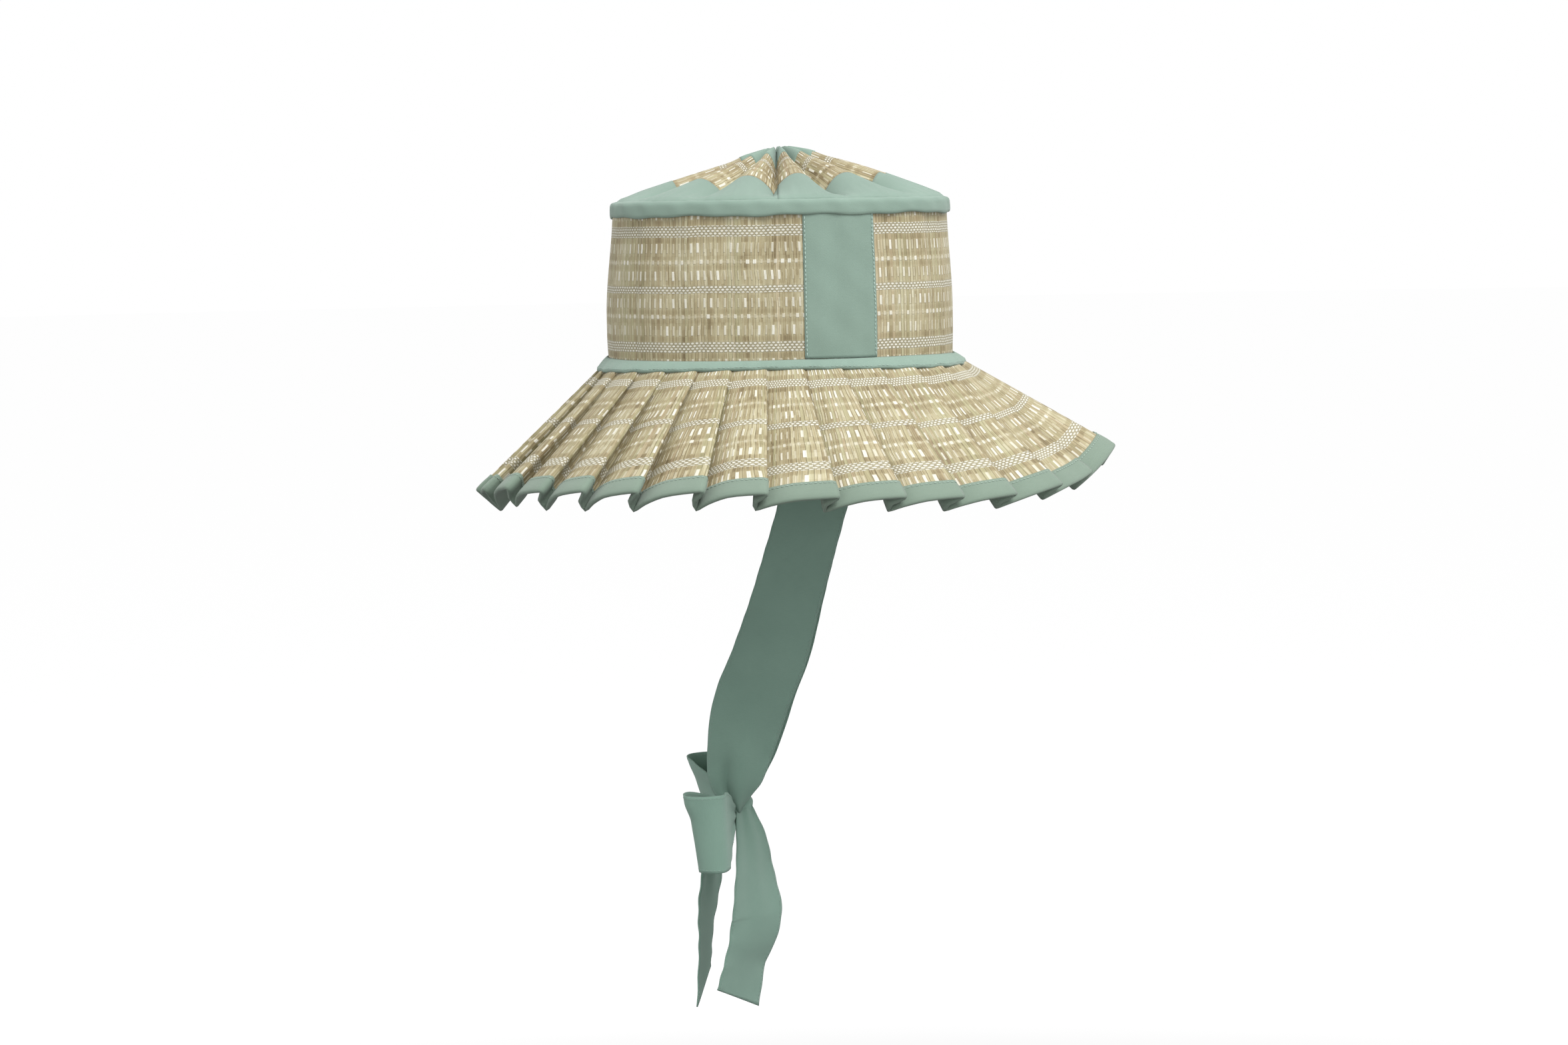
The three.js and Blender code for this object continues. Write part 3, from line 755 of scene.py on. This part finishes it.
def build_base_band():
    """A flat band with a rounded outer edge that follows the brim's droop."""
    section = [
        (0.0, 0.0), (0.0, 0.6), (0.15, 0.95), (0.4, 1.0), (0.65, 0.9),
        (0.85, 0.75), (0.96, 0.4), (1.0, -0.2), (0.99, -0.8), (0.96, -1.4),
    ]
    rows, uvs = [], []
    for k, (t, lift) in enumerate(section):
        row, uv = [], []
        for i in range(BAND_COLUMNS + 1):
            share = i / BAND_COLUMNS
            wave = base_band_wave(share)
            swell = 0.14 * wave_round(share, 61)
            row.append(base_band_point(share, t + wave * t, lift + swell * (t > 0.2)))
            uv.append((OUTLINE_LENGTH * share, k * 1.0))
        rows.append(row)
        uvs.append(uv)
    piece = grid_piece("base_band_cloth", rows, uvs, Vector((-1, 0, 0)), closed=True, wall=BASE_BAND_WALL)
    finish_piece(piece, trim, "trim", "base_band")
    run = []
    for i in range(BAND_COLUMNS * 2 + 1):
        share = i / (BAND_COLUMNS * 2)
        line = STITCH_LINE + base_band_wave(share) * 0.8
        run.append((base_band_point(share, line, STITCH_HEIGHT), Vector((0, 0, 1))))
    add_stitches("base_band_stitches", [run], green_thread, "trim", *BAND_STITCH)


# Side panels: a cotton strip up each side, stitched along both edges
PANEL_ROWS = 48
PANEL_COLUMNS = 32
PANEL_WALL = 0.8
PANEL_STITCH_ROWS = 199
PANEL_STITCH_PLACE = 0.945
PANEL_BOTTOM = 6.6
PANEL_TUCK = 1.5


def build_side_panels():
    middle = share_at_length(PANEL_CENTRE)
    half = PANEL_WIDTH / 2 / OUTLINE_LENGTH
    low, high = PANEL_BOTTOM, BAND_BOTTOM + PANEL_TUCK
    for side, word in ((1, "left"), (-1, "right")):
        rows, uvs = [], []
        for j in range(PANEL_ROWS + 1):
            z = lerp(low, high, j / PANEL_ROWS)
            row, uv = [], []
            for i in range(PANEL_COLUMNS + 1):
                t = 2 * i / PANEL_COLUMNS - 1
                wrinkle = 0.22 * math.sin(t * 3.1 + z * 0.11) * math.sin(z * 0.17 + t * 2) * (1 - t ** 8)
                lip = 0.75 - 0.45 * abs(t) ** 10
                pucker = 0.12 * math.sin(z * 1.7) * abs(t) ** 6
                point = crown_point(middle + half * t, z, 0.3 + lip + wrinkle + pucker)
                row.append(Vector((side * point.x, point.y, z)))
                uv.append((t * PANEL_WIDTH / 2 * side, z))
            rows.append(row)
            uvs.append(uv)
        piece = grid_piece("side_strip_" + word, rows, uvs, Vector((side, 0, 0)), wall=PANEL_WALL)
        finish_piece(piece, trim, "trim", "side_panel_" + word)
        runs = []
        for edge in (-1, 1):
            run = []
            for j in range(PANEL_STITCH_ROWS + 1):
                z = lerp(low + 1, BAND_BOTTOM, j / PANEL_STITCH_ROWS)
                weave = 0.24 * math.sin(z * 2.6) if edge > 0 else 0.12 * math.sin(z * 1.9)
                point = crown_point(middle + half * edge * PANEL_STITCH_PLACE + weave / OUTLINE_LENGTH, z, 1.15)
                normal = oval_normal(Vector((point.x, point.y)))
                run.append((Vector((side * point.x, point.y, z)), Vector((side * normal.x, normal.y, 0))))
            runs.append(run)
        add_stitches("side_strip_stitches_" + word, runs, pale_thread, "trim", *PANEL_STITCH)


# Brim: one pleat from valley to valley, as (share across the pleat, height)
PLEAT_SECTION = [
    (0.0, -1.0),
    (0.05, -0.86),
    (0.13, -0.6),
    (0.23, -0.3),
    (0.34, -0.02),
    (0.45, 0.24),
    (0.56, 0.48),
    (0.66, 0.68),
    (0.75, 0.84),
    (0.83, 0.95),
    (0.89, 1.0),
    (0.935, 0.97),
    (0.965, 0.78),
    (0.98, 0.4),
    (0.985, -0.1),
    (0.99, -0.6),
]
PLEAT_OVERLAP = 0.2
PLEAT_FRONT_OVERLAP = 0.08
pleat_vary = [(rng.uniform(-0.07, 0.07), rng.uniform(0.88, 1.12)) for _ in range(BRIM_PLEATS)]


def pleat_share(pleat):
    even = (pleat + BRIM_PHASE) / BRIM_PLEATS
    return even + (BRIM_DRIFT / BRIM_PLEATS) * math.cos(4 * math.pi * even)


def pleat_line(along):
    """The folded line round the brim at one distance down the slope, as (share, lift)."""
    line = []
    spread = along / BRIM_SLANT
    for pleat in range(BRIM_PLEATS):
        shift, scale = pleat_vary[pleat]
        next_shift = pleat_vary[(pleat + 1) % BRIM_PLEATS][0]
        overlap = PLEAT_OVERLAP + PLEAT_FRONT_OVERLAP * frontness(pleat_share(pleat))
        over = overlap * max(0.02, spread) ** 0.6
        for across, height in PLEAT_SECTION:
            lean = lerp(shift, next_shift, across) * spread
            hook = over * max(0.0, height + 0.2) * ease((across - 0.5) / 0.4)
            share = pleat_share(pleat + across + lean + hook)
            line.append((share, height * scale * brim_pleat_height(share, along)))
    return line


def pleat_ring(along, distance):
    """The same line, moved square to the folds by a distance."""
    line = pleat_line(along)
    count = len(line)
    ring = []
    for i, (share, lift) in enumerate(line):
        before = line[i - 1]
        after = line[(i + 1) % count]
        scale = (brim_point(share + 0.001, along, 0) - brim_point(share, along, 0)).length / 0.001
        run_in = (share - before[0] + (1 if i == 0 else 0)) * scale
        run_out = (after[0] - share + (1 if i == count - 1 else 0)) * scale
        enter = Vector((run_in, lift - before[1])).normalized()
        leave = Vector((run_out, after[1] - lift)).normalized()
        normal = Vector((-enter.y - leave.y, enter.x + leave.x)).normalized()
        ring.append(brim_point(share + normal.x * distance / scale, along, lift + normal.y * distance))
    ring.append(ring[0].copy())
    return ring


BRIM_ROWS = 34
BRIM_WALL = 1.5
BRIM_BAND_START = 12.0
BINDING_WALL = 0.5
PLEAT_MAT_WIDTH = 34.0
PLEAT_MAT_RISE = 13.0


def mat_across():
    """Millimetres of mat up to each fold line round the brim, so that straws keep their width."""
    reach = [0.0]
    points = PLEAT_SECTION + [(1.0, -1.0)]
    for (a, h), (b, k) in zip(points, points[1:]):
        reach.append(reach[-1] + math.hypot((b - a) * PLEAT_MAT_WIDTH, (k - h) * PLEAT_MAT_RISE / 2))
    total = reach[-1]
    across = [total * p + reach[q] for p in range(BRIM_PLEATS) for q in range(len(PLEAT_SECTION))]
    across.append(total * BRIM_PLEATS)
    return across


def build_brim():
    across = mat_across()
    rows, uvs = [], []
    for j in range(BRIM_ROWS + 1):
        along = lerp(0.0, BRIM_MAT_SLANT + 4, j / BRIM_ROWS)
        rows.append(pleat_ring(along, BRIM_WALL / 2))
        uvs.append([(u, along - BRIM_BAND_START) for u in across])
    piece = grid_piece("brim_mat", rows, uvs, Vector((0, 0, 1)), closed=True, wall=BRIM_WALL)
    finish_piece(piece, mat_brim, "straw", "brim")


def build_binding():
    """Cotton folded over the brim's edge, with one row of stitches along its upper edge."""
    section = [
        (BRIM_MAT_SLANT + 0.2, 1.0),
        (BRIM_MAT_SLANT + 0.5, 1.35),
        (BRIM_MAT_SLANT + 2.0, 1.25),
        (BRIM_MAT_SLANT + 5.0, 1.5),
        (BRIM_MAT_SLANT + 8.5, 1.5),
        (BRIM_SLANT - 1.3, 1.3),
        (BRIM_SLANT - 0.3, 0.75),
        (BRIM_SLANT, 0.0),
        (BRIM_SLANT - 0.3, -0.75),
        (BRIM_SLANT - 1.3, -1.3),
        (BRIM_MAT_SLANT + 5.0, -1.5),
        (BRIM_MAT_SLANT + 0.5, -1.2),
    ]
    across = mat_across()
    rows, uvs = [], []
    down = 0.0
    for k, (along, distance) in enumerate(section):
        rows.append(pleat_ring(along, distance))
        if k:
            down += math.hypot(along - section[k - 1][0], distance - section[k - 1][1])
        uvs.append([(u, down) for u in across])
    piece = grid_piece("edge_binding", rows, uvs, Vector((0, 0, 1)), closed=True, wall=BINDING_WALL)
    finish_piece(piece, edge_trim, "trim", "brim_binding")
    ring = pleat_ring(BRIM_MAT_SLANT + 1.9, 1.42)
    lifted = pleat_ring(BRIM_MAT_SLANT + 1.9, 2.42)
    run = [(point, (above - point).normalized()) for point, above in zip(ring, lifted)]
    add_stitches("edge_binding_stitches", [run], green_thread, "trim", *BINDING_STITCH)


# Ribbon: each station has a centre, a direction across, a facing, a width, a curl and folds
RIBBON_COLUMNS = 28
WALL = 0.8
EDGE_WAVE = 0.25
PINCH_PLACE = 0.3
PINCH_WIDTH = 0.22


def spline(values, t):
    """A smooth curve through the rows of a table, at t from 0 to the last row."""
    last = len(values) - 1
    i = min(int(t), last - 1)
    f = t - i
    a, b, c, d = (values[max(0, min(last, i + k))] for k in (-1, 0, 1, 2))
    square = (2 * a - 5 * b + 4 * c - d) * f ** 2
    cube = (3 * b - a - 3 * c + d) * f ** 3
    return 0.5 * (2 * b + (c - a) * f + square + cube)


def ribbon_piece(name, stations, side, node, table_steps=8, cut=0.0):
    """Each value of the stations is smoothed along the ribbon; cut slants the ribbon's end."""
    keys = stations[0].keys()
    steps = (len(stations) - 1) * table_steps
    smooth_rows = []
    for s in range(steps + 1):
        t = s / table_steps
        smooth_rows.append({key: spline([row[key] for row in stations], t) for key in keys})
    rows, uvs, length = [], [], 0.0
    edges = {-1: [], 1: []}
    for s, row in enumerate(smooth_rows):
        if s:
            length += (row["centre"] - smooth_rows[s - 1]["centre"]).length
        across = row["across"].normalized()
        facing = row["facing"].normalized()
        line, uv = [], []
        for i in range(RIBBON_COLUMNS + 1):
            q = 2 * i / RIBBON_COLUMNS - 1
            fold = row["fold"] * math.sin(q * row["waves"] * math.pi + 0.6)
            wave = EDGE_WAVE * abs(q) ** 5 * math.sin(length * 0.42 + q * 1.3)
            lift = row["curl"] * (1 - q * q) + fold + wave + row.get("flare", 0.0) * ease(q * 2 - 0.6)
            lift -= row.get("pinch", 0.0) * math.exp(-(((q + PINCH_PLACE) / PINCH_WIDTH) ** 2))
            point = row["centre"] + across * (q * row["width"] / 2) + facing * lift
            if cut and s > steps - table_steps:
                point.z += cut * q * (s - steps + table_steps) / table_steps
            point = Vector((point.x * side, point.y, point.z))
            line.append(point)
            uv.append((q * RIBBON / 2, length))
            if i in (1, RIBBON_COLUMNS - 1):
                out = Vector((facing.x * side, facing.y, facing.z))
                edges[-1 if i == 1 else 1].append((point + out * (WALL / 2), out))
        rows.append(line)
        uvs.append(uv)
    facing = smooth_rows[0]["facing"]
    looks = Vector((facing.x * side, facing.y, facing.z))
    piece = grid_piece(name, rows, uvs, looks, wall=WALL, inwards=False)
    finish_piece(piece, ribbon_cloth, "ribbon", node)
    backs = []
    for run in edges.values():
        backs.append([(point - out * WALL, -out) for point, out in run])
    add_stitches(name + "_stitches", list(edges.values()) + backs, ribbon_thread, "ribbon", *RIBBON_STITCH)


def direction_at(places, i):
    return (places[min(i + 1, len(places) - 1)] - places[max(i - 1, 0)]).normalized()


def turned(run, turn):
    """The direction across the ribbon and its facing, for its own direction and a turn in degrees."""
    sideways = Vector((math.cos(math.radians(turn)), math.sin(math.radians(turn)), 0))
    across = sideways.cross(run).normalized()
    return across, run.cross(across).normalized()


# Straps: height, place out, place along, width, turn in degrees, curl and fold, in millimetres
STRAP_ROWS = [
    (-15, 72, 31, 43.5, 13, 1.3, 0.0),
    (-40, 66, 25, 43.5, 23, 0.0, 0.0),
    (-76, 56, 15.9, 43.5, 28, 0.0, 0.0),
    (-101, 48, 8.8, 43.5, 27, 0.0, 0.0),
    (-134, 37, -0.9, 43.5, 24, 0.0, 0.0),
    (-164, 27, -10.1, 43.5, 14, 0.4, 0.0),
    (-185, 21, -18.8, 43.0, 9, 1.2, 0.1),
    (-202, 17, -23.9, 41.5, 6, 2.4, 0.3),
    (-219, 14, -27.7, 37.0, 3, 4.0, 0.6),
    (-229, 13, -29.8, 33.5, 0, 4.6, 0.3),
    (-237, 12.8, -31.0, 29.5, 0, 4.2, 0.3),
    (-244, 12.6, -31.0, 21.0, 0, 3.0, 0.3),
    (-250, 12.2, -30.0, 10.0, 0, 1.6, 0.2),
    (-254.5, 11.0, -29.0, 2.6, 0, 0.4, 0.1),
]
FAR_STRAP_SHIFT = 3.4
STRAP_PINCH = 4.2
# The straps' upper ends lie inside the crown: behind its wall, a gap and half a ribbon
SEWN_INSET = 1.8 + 0.3 + 0.6
SEWN_HEIGHTS = (11.0, 0.0)


def build_straps():
    share = share_at_length(PANEL_CENTRE)
    half = RIBBON / 2 / OUTLINE_LENGTH
    near, far, middle = (outline_at(share + half * k, -SEWN_INSET) for k in (-1, 1, 0))
    across = Vector((far.x - near.x, far.y - near.y, 0)).normalized()
    facing = Vector((across.y, -across.x, 0))
    chord = Vector(((near.x + far.x) / 2, (near.y + far.y) / 2, 0))
    sewn_curl = facing.x * (middle.x - chord.x) + facing.y * (middle.y - chord.y)
    sewn_width = (far - near).length
    for side, word in ((1, "left"), (-1, "right")):
        places = []
        for height, out, along, *_ in STRAP_ROWS:
            shift = 0
            if side < 0:
                shift = FAR_STRAP_SHIFT * ease((-height - 15) / 60) * ease((height + 250) / 40)
            places.append(Vector((out, along + shift, height)))
        sewn = {
            "across": across, "facing": facing, "width": sewn_width,
            "curl": sewn_curl, "fold": 0.0, "waves": 2.0, "pinch": 0.0,
        }
        stations = [dict(sewn, centre=Vector((chord.x, chord.y, z))) for z in SEWN_HEIGHTS]
        for i, (height, _, _, width, turn, curl, fold) in enumerate(STRAP_ROWS):
            row_across, row_facing = turned(direction_at(places, i), turn)
            stations.append({
                "centre": places[i], "across": row_across, "facing": row_facing, "width": width,
                "curl": curl, "fold": fold, "waves": 2.0,
                "pinch": STRAP_PINCH * ease((-214 - height) / 20) * ease((height + 255) / 12),
            })
        ribbon_piece("strap_cloth_" + word, stations, side, "strap_" + word)


# Bow loops: place out, place along, width in millimetres, fold, share of the forward lean
LOOP_START = 10.3
LOOP_TIP = -53.5
NEAR_LOOP = [
    (10.3, -33.0, 12.0, 0.5, 0.1),
    (17.5, -37.0, 20.0, 0.6, 0.2),
    (26.0, -43.0, 31.0, 0.5, 0.5),
    (44.0, -51.5, 42.6, 0.3, 0.9),
    (57.5, -53.5, 43.5, 0.0, 1.0),
    (62.3, -48.5, 43.5, 0.0, 0.8),
    (62.3, -41.0, 43.5, 0.0, 0.5),
    (57.5, -35.8, 43.0, 0.0, 0.3),
    (44.0, -34.4, 41.0, 0.2, 0.3),
    (26.0, -33.2, 29.5, 0.4, 0.2),
    (17.5, -32.0, 19.0, 0.5, 0.1),
    (10.3, -31.0, 11.0, 0.4, 0.0),
]
FAR_LOOP = [
    (10.3, -34.4, 15.7, 1.4, 0.1),
    (17.5, -37.6, 22.6, 1.2, 0.2),
    (26.0, -42.4, 32.2, 0.9, 0.5),
    (44.0, -50.2, 42.6, 0.3, 0.9),
    (58.0, -52.6, 43.5, 0.0, 1.0),
    (62.3, -48.4, 43.5, 0.0, 0.8),
    (62.3, -41.0, 43.5, 0.0, 0.5),
    (58.0, -35.0, 43.5, 0.0, 0.3),
    (44.0, -31.0, 41.8, 0.3, 0.3),
    (26.0, -28.6, 31.3, 0.9, 0.2),
    (17.5, -28.4, 21.7, 1.2, 0.1),
    (10.3, -27.6, 14.8, 1.4, 0.0),
]


def build_loop(name, side, table, rise, lean, flare, node):
    """rise lifts the loop's tip, lean turns it forward and flare opens its upper edge."""
    places = []
    for out, along, *_ in table:
        places.append(Vector((out, along, KNOT.z + (out - LOOP_START) / LOOP_REACH * rise)))
    up = Vector((0, 0, 1))
    stations = []
    for i, (_, along, width, fold, tip) in enumerate(table):
        facing = direction_at(places, i).cross(up).normalized()
        stations.append({
            "centre": places[i], "across": Vector((0, -lean * tip, 1)), "facing": facing,
            "width": width, "curl": 0.0, "fold": fold, "waves": 2.5,
            "flare": flare * math.exp(-(((along - LOOP_TIP) / 4) ** 2)),
        })
    ribbon_piece(name, stations, side, node, table_steps=6)


# Tails: height, place along, place out, width, turn and fold, in millimetres and degrees
TAIL_SLANT = 7
LEFT_TAIL = [
    (-250.5, -25.4, 6.4, 8.0, 32, 0.3),
    (-255.8, -25.2, 7.8, 14.0, 38, 0.4),
    (-265.6, -23.2, 9.4, 20.5, 43, 0.4),
    (-272.0, -22.2, 9.8, 25.0, 47, 0.4),
    (-282.0, -21.4, 9.6, 31.5, 53, 0.4),
    (-293.4, -20.9, 9.0, 38.0, 55, 0.3),
    (-311.4, -19.8, 8.0, 43.0, 50.5, 0.3),
    (-318.5, -20.3, 8.0, 43.5, 49.5, 0.2),
    (-331.0, -22.8, 8.0, 43.5, 53, 0.0),
    (-343.8, -27.4, 8.0, 43.5, 57.5, 0.0),
    (-363.5, -31.6, 8.0, 43.5, 58, 0.0),
]
RIGHT_TAIL = [
    (-262.0, -36.0, -5.0, 9.0, 40, 1.0),
    (-276.0, -42.0, -9.0, 24.0, 58, 1.5),
    (-292.6, -45.7, -12.0, 38.0, 71, 0.8),
    (-305.0, -47.2, -14.0, 43.0, 74, 0.3),
    (-318.9, -48.7, -15.0, 43.5, 77.5, 0.0),
    (-329.6, -49.7, -15.5, 43.5, 80.5, 0.0),
    (-341.1, -50.5, -15.5, 43.5, 81.5, 0.0),
    (-362.0, -51.8, -15.5, 43.5, 81, 0.0),
]


def build_tail(name, table, cut, node):
    places = [Vector((out, along, height)) for height, along, out, *_ in table]
    stations = []
    for i, (_, _, _, width, turn, fold) in enumerate(table):
        across, facing = turned(direction_at(places, i), turn)
        stations.append({
            "centre": places[i], "across": across, "facing": facing, "width": width,
            "curl": 0.0, "fold": fold, "waves": 2.0,
        })
    ribbon_piece(name, stations, 1, node, cut=cut)


# Knot: half its size each way, and how far its middle lies above the bow's
KNOT_HALF = (8.8, 9.2, 10)
KNOT_LIFT = 4
KNOT_ROWS = 32
KNOT_COLUMNS = 64
KNOT_SQUARENESS = 0.72


def soft_corner(value):
    return math.copysign(abs(value) ** KNOT_SQUARENESS, value)


def build_knot():
    """Cloth wrapped tight: a soft block with slanting folds."""
    half_x, half_y, half_z = KNOT_HALF
    rows, uvs = [], []
    for j in range(KNOT_ROWS + 1):
        tilt = math.pi * j / KNOT_ROWS
        row, uv = [], []
        for i in range(KNOT_COLUMNS + 1):
            turn = 2 * math.pi * i / KNOT_COLUMNS
            crease = 1 + 0.07 * math.sin(turn * 3 + j * 0.22) * math.sin(tilt)
            crease += 0.05 * math.sin(j * 0.9 + turn)
            x = soft_corner(math.sin(tilt) * math.cos(turn)) * half_x * crease
            y = soft_corner(math.sin(tilt) * math.sin(turn)) * half_y * crease
            z = soft_corner(math.cos(tilt)) * half_z * (1 + 0.04 * math.sin(turn * 2))
            row.append(KNOT + Vector((x, y, z + KNOT_LIFT)))
            uv.append((turn * 10, tilt * 10))
        rows.append(row)
        uvs.append(uv)
    piece = grid_piece("knot_cloth", rows, uvs, Vector((0, 0, 1)), closed=True)
    finish_piece(piece, ribbon_cloth, "ribbon", "bow_knot")


# Stage, light and camera
FLOOR_LEVEL = -1.6
FLOOR_RADIUS = 60
# The floor is painted dark near the hat and white far off: painted shade that cuts the light bouncing up under
# the brim.
FLOOR_NEAR_PAINTED_SHADE = (0.16, 0.16, 0.16)
FLOOR_FAR = (0.99, 0.99, 0.99)
KEY_PLACE = (1.3, 0.9, 2.05)
KEY_SIZE = 1.3
KEY_POWER = 70
KEY_AIM = Vector((0, 0, -0.05))
CAMERA_LENS = 72.6
CAMERA_DISTANCE = 1.8
CAMERA_ELEVATION = math.radians(5.6)
CAMERA_ROLL = math.radians(1.1)
AIM = Vector((0, 0, -0.09))


def build_stage():
    bm = bmesh.new()
    level = Matrix.Translation((0, 0, FLOOR_LEVEL))
    bmesh.ops.create_circle(bm, cap_ends=True, segments=128, radius=FLOOR_RADIUS, matrix=level)
    mesh = bpy.data.meshes.new("floor")
    bm.to_mesh(mesh)
    bm.free()
    floor = bpy.data.objects.new("floor", mesh)
    bpy.context.scene.collection.objects.link(floor)
    paint = Paint("floor_paint", 1.0, specular_ior_level=0.0)
    parts = paint.node("ShaderNodeSeparateXYZ", None, {0: paint.place()})
    across, along = Value(paint, parts.outputs[0]), Value(paint, parts.outputs[1])
    # Painted shade: the floor is dark near the hat and turns white far away.
    far = (across * across + along * along).smooth(2.0, 25.0)
    paint.colour(paint.ramp(far, [(0.0, FLOOR_NEAR_PAINTED_SHADE), (1.0, FLOOR_FAR)]))
    mesh.materials.append(paint.material)


def add_light(name, place, size, power):
    light = bpy.data.lights.new(name, "AREA")
    light.size = size
    light.energy = power
    lamp = bpy.data.objects.new(name, light)
    lamp.location = place
    lamp.rotation_euler = (KEY_AIM - Vector(place)).to_track_quat("-Z", "Y").to_euler()
    bpy.context.scene.collection.objects.link(lamp)


def build_light():
    world = bpy.data.worlds.new("studio")
    world.use_nodes = True
    background = world.node_tree.nodes["Background"]
    background.inputs[0].default_value = (1, 1, 1, 1)
    background.inputs[1].default_value = 1.0
    bpy.context.scene.world = world
    add_light("key", KEY_PLACE, KEY_SIZE, KEY_POWER)


def build_camera():
    camera = bpy.data.cameras.new("camera")
    camera.sensor_width = 36
    camera.lens = CAMERA_LENS
    rig = bpy.data.objects.new("camera", camera)
    back = Vector((math.cos(CAMERA_ELEVATION), 0, math.sin(CAMERA_ELEVATION)))
    right = Vector((0, 1, 0))
    up = back.cross(right)
    rolled_right = right * math.cos(CAMERA_ROLL) - up * math.sin(CAMERA_ROLL)
    rolled_up = up * math.cos(CAMERA_ROLL) + right * math.sin(CAMERA_ROLL)
    place = AIM + back * CAMERA_DISTANCE
    rig.matrix_world = Matrix((
        (rolled_right.x, rolled_up.x, back.x, place.x),
        (rolled_right.y, rolled_up.y, back.y, place.y),
        (rolled_right.z, rolled_up.z, back.z, place.z),
        (0, 0, 0, 1),
    ))
    bpy.context.scene.collection.objects.link(rig)
    bpy.context.scene.camera = rig
    bpy.context.scene.view_settings.view_transform = "Standard"


build_camera()
build_light()
build_stage()
build_crown_side()
build_crown_top()
build_top_band()
build_base_band()
build_side_panels()
build_brim()
build_binding()
build_straps()
build_knot()
build_loop("loop_cloth_left", 1, NEAR_LOOP, 0.0, 0.14, 2.0, "bow_loop_left")
build_loop("loop_cloth_right", -1, FAR_LOOP, 4.0, 0.3, 1.0, "bow_loop_right")
build_tail("tail_cloth_left", LEFT_TAIL, -TAIL_SLANT, "bow_tail_left")
build_tail("tail_cloth_right", RIGHT_TAIL, TAIL_SLANT, "bow_tail_right")
